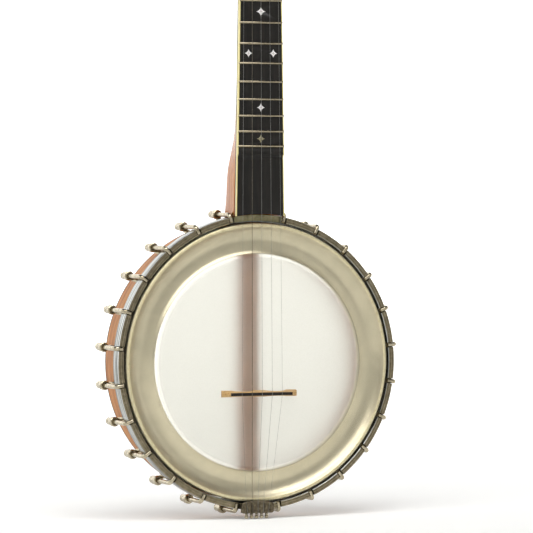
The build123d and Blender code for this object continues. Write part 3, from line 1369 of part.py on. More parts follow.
for step, number in enumerate((4, 3, 2, 1), start=1):
    radius = STRING_RADII[step]
    place = PEG_PLACES[step - 1]
    wrap_radius = POST_R + WRAP_GAP + radius
    inner = 1 if place[0] < 0 else -1
    points = string_route(step, radius)
    nut_x = string_at_nut_x[step - 1]
    points.append((nut_x, NUT_STRING_Y, NUT_Z))
    points.append((nut_x, NUT_STRING_Y, NUT_Z + NUT_LENGTH - 0.4))
    points.append(tuple(peghead_point(place[0] + inner * wrap_radius, place[1], WRAP_LIFT)))
    string = make_string(
        step, radius, points, [0.5, 4, 8, 40, 3], on_peghead(place, WRAP_LIFT), wrap_radius)
    string.part.label = f"string_{number}"
    export_step(string.part, f"parts/string_{number}.step")

wrap_radius = POST_R + WRAP_GAP + STRING_RADII[0]
wrap_x = fifth_post_x - 2.6
points = string_route(0, STRING_RADII[0])
points.append((PIP_X, PIP_STRING_Y, PIP_Z + PIP_R + 0.5))
points.append((FIFTH_SIDE_X - 0.5, PIP_STRING_Y + 0.3, PIP_Z + 6.5))
points.append((wrap_x, FIFTH_PEG_Y - wrap_radius, FIFTH_PEG_Z))
string = make_string(
    0, STRING_RADII[0], points, [0.5, 4, 8, 0.8, 0.8], fifth_peg_plane(wrap_x), wrap_radius)
string.part.label = "string_5"
export_step(string.part, "parts/string_5.step")
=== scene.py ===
import math

import bpy
from bpy.props import FloatProperty, FloatVectorProperty, IntProperty, PointerProperty
from mathutils import Matrix, Vector


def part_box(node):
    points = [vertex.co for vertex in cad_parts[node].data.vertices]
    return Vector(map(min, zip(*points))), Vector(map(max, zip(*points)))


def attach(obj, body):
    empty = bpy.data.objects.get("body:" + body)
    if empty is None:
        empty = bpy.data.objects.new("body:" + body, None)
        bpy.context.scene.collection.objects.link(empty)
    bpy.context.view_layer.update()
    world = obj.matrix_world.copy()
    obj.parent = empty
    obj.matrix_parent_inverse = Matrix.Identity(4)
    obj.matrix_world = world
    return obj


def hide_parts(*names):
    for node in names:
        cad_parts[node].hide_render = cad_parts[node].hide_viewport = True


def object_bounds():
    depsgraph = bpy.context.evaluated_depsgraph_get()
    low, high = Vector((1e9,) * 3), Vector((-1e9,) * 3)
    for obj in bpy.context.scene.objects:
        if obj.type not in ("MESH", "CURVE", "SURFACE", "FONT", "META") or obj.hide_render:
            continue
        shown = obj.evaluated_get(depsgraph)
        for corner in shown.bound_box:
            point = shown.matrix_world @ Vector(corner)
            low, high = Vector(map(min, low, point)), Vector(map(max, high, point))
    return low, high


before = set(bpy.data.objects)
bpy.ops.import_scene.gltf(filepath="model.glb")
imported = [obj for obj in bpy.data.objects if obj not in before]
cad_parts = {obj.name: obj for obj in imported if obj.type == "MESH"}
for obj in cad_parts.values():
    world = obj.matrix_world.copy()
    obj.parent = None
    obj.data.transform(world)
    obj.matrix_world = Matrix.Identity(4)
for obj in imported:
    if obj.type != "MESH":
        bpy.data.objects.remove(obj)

bl_info = {
    "name": "Open-back Banjo",
    "version": (1, 0, 0),
    "blender": (4, 5, 0),
    "location": "View3D > Sidebar > Banjo",
    "description": "Builds the visible pieces of a five-string open-back banjo round its frame",
    "category": "Add Mesh",
}

MM = 0.001
SCRATCH_MM = 0.9            # spacing of the wear marks on plated metal
CAD_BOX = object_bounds()

# ------------------------------------------------------------ sizes read from the frame
RIM_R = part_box("rim")[1].x
RIM_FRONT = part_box("rim")[0].y
CAP_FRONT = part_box("rim_cap")[0].y
RING_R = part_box("tone_ring")[1].x
BEAD_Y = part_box("tone_ring")[0].y
COLLAR_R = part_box("drum_head")[1].x
HEAD_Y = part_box("drum_head")[0].y
HEAD_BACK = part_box("drum_head")[1].y
FLESH_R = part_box("flesh_hoop")[1].x
FLESH_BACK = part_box("flesh_hoop")[1].y
HOOP_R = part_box("tension_hoop")[1].x
HOOP_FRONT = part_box("tension_hoop")[0].y
HOOP_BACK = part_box("tension_hoop")[1].y
NUT_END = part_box("hook_nuts")[1].y
BOARD_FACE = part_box("fretboard")[0].y
FLOOR_Z = CAD_BOX[0].z - 0.5 * MM

RIM_WALL = 12.7 * MM
RING_WALL = 1.3 * MM
RING_LIP_R = RIM_R - 30.5 * MM
BEAD_R = 2.3 * MM
DISH_R = RIM_R - 17.7 * MM
FILM = 0.3 * MM
HOOP_T = 6.0 * MM

HOOK_COUNT = 24
FIRST_HOOK = math.radians(11.2)      # each side of the neck
LAST_HOOK = math.radians(171.1)      # each side of the tailpiece
HOOK_R = 2.25 * MM
HOOK_CIRCLE = HOOP_R + 2.75 * MM
HOOK_TOP = HOOP_FRONT + 2.45 * MM
HOOK_BEND = 3.3 * MM
SHOE_Y = -37.0 * MM
EYE_FRONT = -29.0 * MM
EYE_BACK = -23.0 * MM
EYE_R = 4.9 * MM


# ---------------------------------------------------------------------------- settings
class BanjoPotSettings(bpy.types.PropertyGroup):
    """Sizes and finish of the pot's metal and head"""

    facets: IntProperty(name="Facets", description="Steps round the pot's rings",
                        default=192, min=48, max=256)
    frosting: FloatProperty(name="Frosting", description="How much the head blurs what is behind it",
                            default=0.55, min=0.0, max=1.0, subtype="FACTOR")
    ring_colour: FloatVectorProperty(name="Tone ring", description="Colour of the tone ring's plating",
                                     default=(0.90, 0.84, 0.71), size=3, min=0.0, max=1.0, subtype="COLOR")
    tarnish: FloatProperty(name="Tarnish", description="How far the plating has dulled",
                           default=0.5, min=0.0, max=1.0, subtype="FACTOR")


class BanjoNeckSettings(bpy.types.PropertyGroup):
    """Finish of the neck and fretboard"""

    edge: FloatProperty(name="Edge", description="Rounding of the wooden edges",
                        default=0.5 * MM, unit="LENGTH")
    gloss: FloatProperty(name="Lacquer", description="Roughness of the neck's lacquer",
                         default=0.24, min=0.0, max=1.0, subtype="FACTOR")
    inlay_relief: FloatProperty(name="Engraving", description="Width of the lines cut in the inlays",
                                default=0.32 * MM, unit="LENGTH")


class BanjoStageSettings(bpy.types.PropertyGroup):
    """Camera, lights and floor"""

    lens: FloatProperty(name="Lens", description="Focal length in millimetres",
                        default=270.2, min=50.0, max=400.0)
    distance: FloatProperty(name="Distance", description="Camera's distance from its aim", default=4.068,
                            unit="LENGTH")
    turn: FloatProperty(name="Turn", description="Camera's turn to the fifth-string side",
                        default=math.radians(-21.02), subtype="ANGLE")
    rise: FloatProperty(name="Rise", description="Camera's height above level", default=math.radians(1.377),
                        subtype="ANGLE")
    key: FloatProperty(name="Key light", description="Power of the key light in watts", default=52.0)
    fill: FloatProperty(name="Fill light", description="Power of the fill light in watts", default=3.0)
    top: FloatProperty(name="Top light", description="Power of the light overhead in watts", default=46.0)


# --------------------------------------------------------------------- material helpers
def linear(hex_colour, alpha=1.0):
    """Linear RGBA from an sRGB hex value."""
    digits = hex_colour.lstrip("#")
    channels = [int(digits[i:i + 2], 16) / 255 for i in (0, 2, 4)]
    straight = [c / 12.92 if c <= 0.04045 else ((c + 0.055) / 1.055) ** 2.4 for c in channels]
    return (*straight, alpha)


def add_node(tree, kind, inputs=None, stops=None, to=None, **settings):
    """Adds a node with its settings and links.

    Each input is a number, a colour or a socket to link, and the node's first output can be
    linked to another socket.
    """
    made = tree.nodes.new(kind)
    for name, value in settings.items():
        setattr(made, name, value)
    for place, value in (inputs or {}).items():
        if isinstance(value, bpy.types.NodeSocket):
            tree.links.new(value, made.inputs[place])
        else:
            made.inputs[place].default_value = value
    if stops:
        while len(made.color_ramp.elements) < len(stops):
            made.color_ramp.elements.new(0.5)
        for element, (position, hex_colour) in zip(made.color_ramp.elements, stops):
            element.position = position
            element.color = linear(hex_colour)
    if to is not None:
        tree.links.new(made.outputs[0], to)
    return made


def new_finish(name, **shader_values):
    """A material with one principled shader; returns the material, its tree and shader."""
    material = bpy.data.materials.new(name)
    material.use_nodes = True
    tree = material.node_tree
    shader = tree.nodes["Principled BSDF"]
    for socket, value in shader_values.items():
        label = socket if socket == "IOR" else socket.capitalize()
        shader.inputs[label].default_value = value
    return material, tree, shader


def spread_by(size_mm):
    """Texture scale that makes a pattern's features the given size in millimetres."""
    return 1.0 / (size_mm * MM)


def object_place(tree, stretch=(1.0, 1.0, 1.0)):
    """Object coordinates, stretched along the axes."""
    coordinates = add_node(tree, "ShaderNodeTexCoord").outputs["Object"]
    return add_node(tree, "ShaderNodeMapping", {"Vector": coordinates, "Scale": stretch}).outputs["Vector"]


def polar_place(tree, along=0.05):
    """Coordinates that follow a bent hoop: along it (slowly), its depth and its radius."""
    coordinates = add_node(tree, "ShaderNodeTexCoord").outputs["Object"]
    parts = add_node(tree, "ShaderNodeSeparateXYZ", {"Vector": coordinates})
    angle = add_node(tree, "ShaderNodeMath", {0: parts.outputs["X"], 1: parts.outputs["Z"]},
                     operation="ARCTAN2")
    run = add_node(tree, "ShaderNodeMath", {0: angle.outputs[0], 1: RIM_R * along}, operation="MULTIPLY")
    flat = add_node(tree, "ShaderNodeVectorMath", {0: coordinates, 1: (1.0, 0.0, 1.0)}, operation="MULTIPLY")
    radius = add_node(tree, "ShaderNodeVectorMath", {0: flat.outputs["Vector"]}, operation="LENGTH")
    return add_node(tree, "ShaderNodeCombineXYZ", {
        "X": run.outputs[0], "Y": parts.outputs["Y"], "Z": radius.outputs["Value"]}).outputs["Vector"]


def pot_radius(tree):
    """Socket with the distance from the pot's axis."""
    return add_node(tree, "ShaderNodeSeparateXYZ", {"Vector": polar_place(tree)}).outputs["Z"]


def mottled(name, stops, size_mm, stretch=(1.0, 1.0, 1.0), detail=2.0, distortion=0.0, **shader_values):
    """A finish coloured by one stretched noise; returns its material, tree, shader and noise."""
    material, tree, shader = new_finish(name, **shader_values)
    noise = add_node(tree, "ShaderNodeTexNoise", {
        "Vector": object_place(tree, stretch), "Scale": spread_by(size_mm),
        "Detail": detail, "Distortion": distortion})
    add_node(tree, "ShaderNodeValToRGB", {"Fac": noise.outputs["Fac"]}, stops, to=shader.inputs["Base Color"])
    return material, tree, shader, noise


def grained_wood(name, place_maker, stops, figure_mm, gloss, pore_depth=0.05, coat=0.0):
    """Wood: broad colour figure, fine dark pores along the grain, and a lacquer coat."""
    material, tree, shader = new_finish(name, roughness=gloss, IOR=1.5)
    place = place_maker(tree)
    figure = add_node(tree, "ShaderNodeTexNoise", {
        "Vector": place, "Scale": spread_by(figure_mm), "Detail": 6.0, "Roughness": 0.6, "Distortion": 0.6})
    pores = add_node(tree, "ShaderNodeTexNoise", {
        "Vector": place, "Scale": spread_by(figure_mm * 0.12), "Detail": 4.0, "Roughness": 0.7})
    colour = add_node(tree, "ShaderNodeValToRGB", {"Fac": figure.outputs["Fac"]}, stops)
    dark = add_node(tree, "ShaderNodeMapRange", {
        "Value": pores.outputs["Fac"], "From Min": 0.36, "From Max": 0.5, "To Min": 0.72, "To Max": 1.0})
    add_node(tree, "ShaderNodeVectorMath", {0: colour.outputs["Color"], 1: dark.outputs["Result"]},
             to=shader.inputs["Base Color"], operation="MULTIPLY")
    shader.inputs["Coat Weight"].default_value = coat
    shader.inputs["Coat Roughness"].default_value = 0.12
    shader.inputs["Specular IOR Level"].default_value = 0.3
    add_node(tree, "ShaderNodeBump", {
        "Height": pores.outputs["Fac"], "Distance": pore_depth * MM, "Strength": 0.4},
        to=shader.inputs["Normal"])
    return material


def plated_metal(name, stops, patch_mm, rough_low, rough_high, dent=0.03, place_maker=object_place):
    """Old plating: cloudy tarnish, uneven shine and fine wear marks."""
    material, tree, shader = new_finish(name, metallic=1.0)
    place = place_maker(tree)
    cloud = add_node(tree, "ShaderNodeTexNoise", {
        "Vector": place, "Scale": spread_by(patch_mm), "Detail": 7.0, "Roughness": 0.68})
    add_node(tree, "ShaderNodeValToRGB", {"Fac": cloud.outputs["Fac"]}, stops, to=shader.inputs["Base Color"])
    add_node(tree, "ShaderNodeMapRange", {
        "Value": cloud.outputs["Fac"], "From Min": 0.3, "From Max": 0.7,
        "To Min": rough_high, "To Max": rough_low}, to=shader.inputs["Roughness"])
    wear = add_node(tree, "ShaderNodeTexNoise", {
        "Vector": place, "Scale": spread_by(SCRATCH_MM), "Detail": 5.0, "Roughness": 0.75})
    add_node(tree, "ShaderNodeBump", {
        "Height": wear.outputs["Fac"], "Distance": dent * MM, "Strength": 0.5}, to=shader.inputs["Normal"])
    return material


# --------------------------------------------------------------------------- materials
def cherry_stained_maple_rim():
    """Bent maple, stained cherry and lacquered: orange-red with grain running round."""
    stops = ((0.28, "#9c5c2c"), (0.45, "#bd7b40"), (0.6, "#cc8d4f"), (0.75, "#d69c5e"))
    return grained_wood("cherry_stained_maple_rim", lambda tree: polar_place(tree, 0.06), stops,
                        5.0, 0.5)


def cherry_stained_maple_neck():
    """The same stain on quartered maple: the grain runs up the neck under a clear lacquer."""
    stops = ((0.28, "#8a4a1e"), (0.45, "#b06a30"), (0.6, "#c17d3e"), (0.78, "#cc8b4a"))
    gloss = bpy.context.scene.banjo_neck.gloss
    return grained_wood("cherry_stained_maple_neck", lambda tree: object_place(tree, (1.0, 1.0, 0.055)),
                        stops, 5.0, gloss, coat=0.1)


def black_stained_cap():
    """Black-stained hardwood: near black with the grain just showing."""
    stops = ((0.3, "#150e0a"), (0.55, "#2a1d15"), (0.75, "#3a281d"))
    return grained_wood("black_stained_cap", lambda tree: polar_place(tree, 0.05), stops, 3.0, 0.5)


def clear_maple_stick():
    """Plain maple under old lacquer: warm pale brown, straight grain."""
    stops = ((0.3, "#bd8468"), (0.5, "#e0a68a"), (0.72, "#ecbfa4"))
    return grained_wood("clear_maple_stick", lambda tree: object_place(tree, (1.0, 1.0, 0.05)), stops,
                        4.0, 0.36, coat=0.3)


def bare_maple_bridge():
    """Unfinished maple: pale yellow-brown, dry, with small brown flecks."""
    stops = ((0.28, "#a87a48"), (0.48, "#cfa870"), (0.7, "#e0c08c"))
    return grained_wood("bare_maple_bridge", lambda tree: object_place(tree, (0.09, 1.0, 1.0)), stops,
                        1.6, 0.5)


def oiled_ebony():
    """Oiled ebony: almost black with faint brown streaks and open pores."""
    stops = ((0.35, "#0f0d0b"), (0.6, "#1d1a16"), (0.8, "#2b241c"))
    return grained_wood("oiled_ebony", lambda tree: object_place(tree, (1.0, 1.0, 0.05)), stops,
                        2.5, 0.42, pore_depth=0.08)


def dyed_veneer():
    """Black-dyed veneer: a matt dark line between board and neck."""
    stops = ((0.35, "#0c0a09"), (0.7, "#1b1613"))
    return grained_wood("dyed_veneer", lambda tree: object_place(tree, (1.0, 1.0, 0.06)), stops, 1.2, 0.5)


def spun_ring_plate():
    """Spun brass under worn nickel: a champagne satin with fine rings from the lathe, painted lighter towards
    the inner lip.
    """
    settings = bpy.context.scene.banjo_pot
    material, tree, shader = new_finish("spun_ring_plate", metallic=1.0)
    place = object_place(tree)
    cloud = add_node(tree, "ShaderNodeTexNoise", {
        "Vector": place, "Scale": spread_by(22.0), "Detail": 6.0, "Roughness": 0.62})
    plain = (*settings.ring_colour, 1.0)
    worn = (*(channel * (1.0 - 0.6 * settings.tarnish) for channel in settings.ring_colour), 1.0)
    # painted light: the inner lip is painted a little lighter and the outer part of the dish a little darker,
    # over the random tarnish
    painted_lip_light = add_node(tree, "ShaderNodeMapRange", {
        "Value": pot_radius(tree), "From Min": RING_LIP_R + 5 * MM, "From Max": RING_R - 7 * MM,
        "To Min": 0.16, "To Max": -0.04}, interpolation_type="SMOOTHSTEP")
    tarnish_and_painted_light = add_node(tree, "ShaderNodeMath", {0: cloud.outputs["Fac"], 1: painted_lip_light.outputs["Result"]},
                     operation="ADD")
    share = add_node(tree, "ShaderNodeMapRange", {
        "Value": tarnish_and_painted_light.outputs[0], "From Min": 0.2, "From Max": 0.85})
    colour = add_node(tree, "ShaderNodeMix", {
        0: share.outputs["Result"], 6: worn, 7: plain}, data_type="RGBA")
    tree.links.new(colour.outputs[2], shader.inputs["Base Color"])
    add_node(tree, "ShaderNodeMapRange", {
        "Value": cloud.outputs["Fac"], "To Min": 0.36, "To Max": 0.25}, to=shader.inputs["Roughness"])
    # lathe rings half a millimetre apart, drawn a little coarse so that they show
    rings = add_node(tree, "ShaderNodeTexNoise", {
        "Vector": polar_place(tree, 0.004), "Scale": spread_by(0.5), "Detail": 2.0})
    add_node(tree, "ShaderNodeBump", {
        "Height": rings.outputs["Fac"], "Distance": 0.012 * MM, "Strength": 0.4}, to=shader.inputs["Normal"])
    return material


def rubbed_bead_painted_highlight():
    """The bead under the head: rubbed bright, and painted paler still as a painted highlight along the bead;
    pale cream metal with small scuffs.
    """
    stops = ((0.3, "#c9bd9c"), (0.45, "#f5edd2"), (0.75, "#fdf8e8"))
    return plated_metal("rubbed_bead_painted_highlight", stops, 3.0, 0.5, 0.65)


def frosted_film():
    """Frosted polyester: passes light, blurs what is far behind it and glows softly."""
    frosting = bpy.context.scene.banjo_pot.frosting
    stops = ((0.3, "#d9d8cf"), (0.7, "#e1e0d8"))
    material, tree, shader, coating = mottled(
        "frosted_film", stops, 0.8, detail=4.0, roughness=frosting, IOR=1.3)
    shader.inputs["Transmission Weight"].default_value = 0.90
    add_node(tree, "ShaderNodeBump", {
        "Height": coating.outputs["Fac"], "Distance": 0.01 * MM, "Strength": 0.3}, to=shader.inputs["Normal"])
    # where the film lies close over the ring its frosting hides almost nothing
    clear = add_node(tree, "ShaderNodeMapRange", {
        "Value": pot_radius(tree), "From Min": RING_LIP_R - 5 * MM, "From Max": RING_LIP_R + 1 * MM,
        "To Min": 0.0, "To Max": 0.82})
    see_through = add_node(tree, "ShaderNodeBsdfTransparent", {"Color": linear("#fbfaf5")})
    add_node(tree, "ShaderNodeMixShader", {
        0: clear.outputs["Result"], 1: shader.outputs["BSDF"], 2: see_through.outputs["BSDF"]},
        to=tree.nodes["Material Output"].inputs["Surface"])
    return material


def aged_nickel():
    """Aged nickel plate on hooks and shoes: warm silver with brownish cloudy patches."""
    stops = ((0.25, "#7d735a"), (0.45, "#aea38a"), (0.65, "#cbc2ab"), (0.8, "#ddd6c4"))
    return plated_metal("aged_nickel", stops, 4.0, 0.13, 0.3)


def olive_hoop_front():
    """The hoop's front faces: a darker olive-grey than its other faces."""
    stops = ((0.25, "#6e654f"), (0.5, "#8c8169"), (0.75, "#a79c83"))
    return plated_metal("olive_hoop_front", stops, 5.0, 0.3, 0.42)


def silver_hoop_sides():
    """Every face of the hoop but its front: a lighter cool silver, streaked round the hoop."""
    stops = ((0.34, "#4c4b47"), (0.46, "#8e908d"), (0.56, "#b9bbb8"), (0.7, "#c9cac7"))
    return plated_metal("silver_hoop_sides", stops, 2.4, 0.14, 0.3,
                        place_maker=lambda tree: polar_place(tree, 0.03))


def khaki_hoop_gap():
    """The lowered stretch under the strings: plain metal gone khaki."""
    stops = ((0.25, "#6f6a50"), (0.5, "#8d8768"), (0.75, "#a9a282"))
    return plated_metal("khaki_hoop_gap", stops, 6.0, 0.34, 0.48)


def tarnished_tailpiece():
    """Tarnished nickel: dark warm grey, with lighter cloudy patches."""
    stops = ((0.25, "#37332a"), (0.5, "#655c4b"), (0.75, "#988e77"))
    return plated_metal("tarnished_tailpiece", stops, 3.0, 0.24, 0.42)


def plain_steel():
    """Plain steel of bolts and screws: neutral grey, slightly stained."""
    stops = ((0.25, "#75746f"), (0.5, "#94938d"), (0.75, "#b5b3ab"))
    return plated_metal("plain_steel", stops, 3.0, 0.28, 0.42)


def nickel_silver_frets():
    """Nickel-silver fret wire: yellowish silver with cloudy patches of shine."""
    stops = ((0.3, "#8f846d"), (0.55, "#aca189"), (0.75, "#c6bda6"))
    return plated_metal("nickel_silver_frets", stops, 3.0, 0.16, 0.3)


def aged_ivoroid():
    """Grained cellulose plastic gone yellow: cream with fine parallel lines."""
    stops = ((0.3, "#d9c67c"), (0.55, "#eadd9c"), (0.75, "#f0e6b0"))
    material, tree, shader, lines = mottled(
        "aged_ivoroid", stops, 0.5, (1.0, 1.0, 0.04), 3.0, roughness=0.3, IOR=1.5)
    add_node(tree, "ShaderNodeBump", {
        "Height": lines.outputs["Fac"], "Distance": 0.01 * MM, "Strength": 0.3}, to=shader.inputs["Normal"])
    return material


def mother_of_pearl():
    """Mother-of-pearl: white, with soft bands of grey, green and rose."""
    stops = ((0.3, "#b8c4c0"), (0.42, "#f2f1ea"), (0.52, "#e6dce0"), (0.62, "#f7f6f1"), (0.74, "#c9d6cc"))
    material, _, shader, _ = mottled(
        "mother_of_pearl", stops, 3.2, (1.0, 1.0, 0.6), 3.0, 2.2, roughness=0.2, IOR=1.53)
    shader.inputs["Coat Weight"].default_value = 0.4
    return material


def smoked_pearl():
    """A darker piece of shell: olive-grey with soft bands, at the last star."""
    stops = ((0.32, "#6c6448"), (0.5, "#9a9272"), (0.7, "#b5ae92"))
    return mottled("smoked_pearl", stops, 2.6, (1.0, 1.0, 0.6), 3.0, 1.8, roughness=0.28, IOR=1.53)[0]


def engraving_filler():
    """Grey wax rubbed into the engraved lines."""
    stops = ((0.35, "#3a3934"), (0.7, "#66645c"))
    return mottled("engraving_filler", stops, 0.3, roughness=0.7)[0]


def polished_bone():
    """Bone polished by hand: cream, with faint grey-brown streaks."""
    stops = ((0.3, "#cdbf9c"), (0.55, "#e9e0c6"), (0.75, "#f3eddb"))
    material, _, shader, _ = mottled(
        "polished_bone", stops, 1.2, (0.3, 1.0, 1.0), 5.0, roughness=0.26, IOR=1.54)
    shader.inputs["Subsurface Weight"].default_value = 0.08
    shader.inputs["Subsurface Radius"].default_value = (2 * MM, 1.4 * MM, 0.8 * MM)
    return material


def drawn_string_wire():
    """Plain drawn steel wire: bright grey."""
    stops = ((0.3, "#8b8b89"), (0.6, "#a9a9a6"), (0.8, "#c6c6c2"))
    return plated_metal("drawn_string_wire", stops, 6.0, 0.22, 0.32, dent=0.0)


def wound_string_wire():
    """Wire wound over a core: darker, with turns that are drawn coarse so that they show, painted dark in the
    grooves and light on the crests.
    """
    material, tree, shader = new_finish("wound_string_wire", metallic=1.0, roughness=0.36)
    turns = add_node(tree, "ShaderNodeTexWave", {
        "Vector": object_place(tree), "Scale": spread_by(0.6) / (2 * math.pi), "Distortion": 0.0},
        bands_direction="Z")
    # painted shade and highlight: the colour follows the bump's wave, dark in the grooves between turns and
    # light on their crests
    add_node(tree, "ShaderNodeValToRGB", {"Fac": turns.outputs["Fac"]},
             ((0.2, "#4a453d"), (0.8, "#8c8578")),
             to=shader.inputs["Base Color"])
    add_node(tree, "ShaderNodeBump", {
        "Height": turns.outputs["Fac"], "Distance": 0.1 * MM, "Strength": 0.6}, to=shader.inputs["Normal"])
    return material


# --------------------------------------------------------------------- modelling helpers
def deselect_all():
    """Clears the selection, so that an operator acts on the new piece only."""
    if bpy.context.object and bpy.context.object.mode != "OBJECT":
        bpy.ops.object.mode_set(mode="OBJECT")
    bpy.ops.object.select_all(action="DESELECT")


def edit_all():
    """Opens the active piece's mesh with everything in it selected."""
    bpy.ops.object.mode_set(mode="EDIT")
    bpy.ops.mesh.select_all(action="SELECT")


def choose(piece):
    """Makes one piece the only selected and active object."""
    deselect_all()
    piece.select_set(True)
    bpy.context.view_layer.objects.active = piece
    return piece


def name_new(name):
    """Names the object that an operator has just made, and puts its place in its mesh."""
    piece = bpy.context.object
    piece.name = name
    piece.data.name = name
    bpy.ops.object.transform_apply(location=True, rotation=True, scale=True)
    return piece


def smooth(piece, angle=35.0):
    """Shades the piece smooth, except over sharp edges."""
    choose(piece)
    bpy.ops.object.shade_smooth_by_angle(angle=math.radians(angle))
    return piece


def round_edges(piece, width, segments=2, angle=40.0):
    """Rounds the piece's sharp edges and keeps the flats flat."""
    choose(piece)
    bevel = piece.modifiers.new("edges", "BEVEL")
    bevel.width = width
    bevel.segments = segments
    bevel.limit_method = "ANGLE"
    bevel.angle_limit = math.radians(angle)
    bevel.use_clamp_overlap = True
    bpy.ops.object.modifier_apply(modifier=bevel.name)
    return piece


def close_up(piece):
    """Merges doubled points and turns every face outwards."""
    choose(piece)
    edit_all()
    bpy.ops.mesh.remove_doubles(threshold=0.002 * MM)
    bpy.ops.mesh.normals_make_consistent(inside=False)
    bpy.ops.object.mode_set(mode="OBJECT")
    return piece


def turned(name, outline, steps, centre=(0.0, 0.0, 0.0), axis="Y"):
    """Turns a closed outline of (radius, place along the axis) points, as on a lathe."""
    deselect_all()
    bpy.ops.mesh.primitive_circle_add(vertices=len(outline), radius=RIM_R)
    piece = name_new(name)
    hub = Vector(centre)
    for vertex, (radius, along) in zip(piece.data.vertices, outline):
        offset = (radius, along, 0.0) if axis == "Y" else (radius, 0.0, along)
        vertex.co = hub + Vector(offset)
    direction = (0.0, 1.0, 0.0) if axis == "Y" else (0.0, 0.0, 1.0)
    edit_all()
    bpy.ops.mesh.spin(steps=steps, angle=2 * math.pi, center=centre, axis=direction)
    bpy.ops.object.mode_set(mode="OBJECT")
    return smooth(close_up(piece))


def arc(centre, radius, start, end, steps):
    """Points of an arc in an outline, from one angle to another in degrees."""
    turn = [math.radians(start + (end - start) * step / steps) for step in range(steps + 1)]
    return [(centre[0] + radius * math.cos(a), centre[1] + radius * math.sin(a)) for a in turn]


def joined(name, pieces):
    """Joins pieces into one object."""
    deselect_all()
    for piece in pieces:
        piece.select_set(True)
    bpy.context.view_layer.objects.active = pieces[0]
    bpy.ops.object.join()
    whole = bpy.context.object
    whole.name = name
    whole.data.name = name
    return whole


def block_at(name, size, middle):
    """A block of the given size about its middle."""
    deselect_all()
    bpy.ops.mesh.primitive_cube_add(size=1.0)
    block = name_new(name)
    block.data.transform(Matrix.Translation(middle) @ Matrix.Diagonal((*size, 1.0)))
    return block


def draw_out(*offset):
    """Extrudes the selected face by an offset."""
    bpy.ops.mesh.extrude_region_move(TRANSFORM_OT_translate={"value": offset})


def hook_turns():
    """Angles of the hooks round the pot, from the neck down each side."""
    step = (LAST_HOOK - FIRST_HOOK) / (HOOK_COUNT / 2 - 1)
    side = [FIRST_HOOK + step * number for number in range(HOOK_COUNT // 2)]
    return side + [-angle for angle in side]


def set_round_pot(name, model):
    """Copies a piece modelled over the pot to every hook's place and joins the copies."""
    copies = []
    for angle in hook_turns():
        copy = model.copy()
        copy.data = model.data.copy()
        copy.data.transform(Matrix.Rotation(angle, 4, "Y"))
        bpy.context.scene.collection.objects.link(copy)
        copies.append(copy)
    bpy.data.objects.remove(model)
    return joined(name, copies)


def refined(name, node, edge=0.0, angle=35.0):
    """A merged copy of a CAD node, with its edges rounded and its curves shaded smooth."""
    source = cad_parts[node]
    copy = bpy.data.objects.new(name, source.data.copy())
    copy.data.materials.clear()
    bpy.context.scene.collection.objects.link(copy)
    choose(copy)
    edit_all()
    bpy.ops.mesh.remove_doubles(threshold=0.003 * MM)
    bpy.ops.mesh.dissolve_limited(angle_limit=math.radians(0.6))
    bpy.ops.object.mode_set(mode="OBJECT")
    if edge:
        round_edges(copy, edge)
    return smooth(copy, angle)


def finish_piece(piece, materials, slot, *nodes, body="banjo"):
    """Gives a piece its materials and its body and hides the CAD nodes it stands for; the slot is not used.
    """
    for material in materials:
        piece.data.materials.append(material)
    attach(piece, body)
    if nodes:
        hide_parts(*nodes)
    return piece


def finish_copy(node, material, slot, edge=0.0, angle=35.0, body="banjo"):
    """Replaces a CAD node with its refined copy in its own finish."""
    return finish_piece(refined(node + "_fine", node, edge, angle), [material], slot, node, body=body)


def paint_node(node, material):
    """Gives a carried CAD node its finish."""
    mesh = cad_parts[node].data
    mesh.materials.clear()
    mesh.materials.append(material)


# --------------------------------------------------------------------------- operators
class BANJO_OT_rim(bpy.types.Operator):
    """Make the wooden rim and its dark back cap"""

    bl_idname = "banjo.rim"
    bl_label = "Rim"

    def execute(self, context):
        steps = context.scene.banjo_pot.facets
        inner = RIM_R - RIM_WALL
        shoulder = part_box("tone_ring")[1].y
        soft = 0.6 * MM
        ledge = RIM_R - 1.5 * MM        # the ring's skirt sits round this step
        outline = [
            (inner + soft, CAP_FRONT), (inner, CAP_FRONT - soft), (inner, RIM_FRONT + soft),
            (inner + soft, RIM_FRONT), (ledge, RIM_FRONT), (ledge, shoulder),
            (RIM_R - 0.3 * MM, shoulder), (RIM_R, shoulder + 0.3 * MM), (RIM_R, CAP_FRONT - 0.2 * MM),
            (RIM_R - 0.2 * MM, CAP_FRONT),
        ]
        rim = turned("rim_shell", outline, steps)
        finish_piece(rim, [cherry_stained_maple_rim()], "rim_maple", "rim")
        back = [
            (inner, CAP_FRONT), (RIM_R - 0.1 * MM, CAP_FRONT), (RIM_R - 0.1 * MM, -0.9 * MM),
            (RIM_R - 0.4 * MM, -0.3 * MM), (RIM_R - 1.0 * MM, 0.0), (inner + 1.0 * MM, 0.0),
            (inner + 0.3 * MM, -0.3 * MM), (inner, -0.9 * MM),
        ]
        cap = turned("rim_back_cap", back, steps)
        finish_piece(cap, [black_stained_cap()], "cap_wood", "rim_cap")
        return {"FINISHED"}


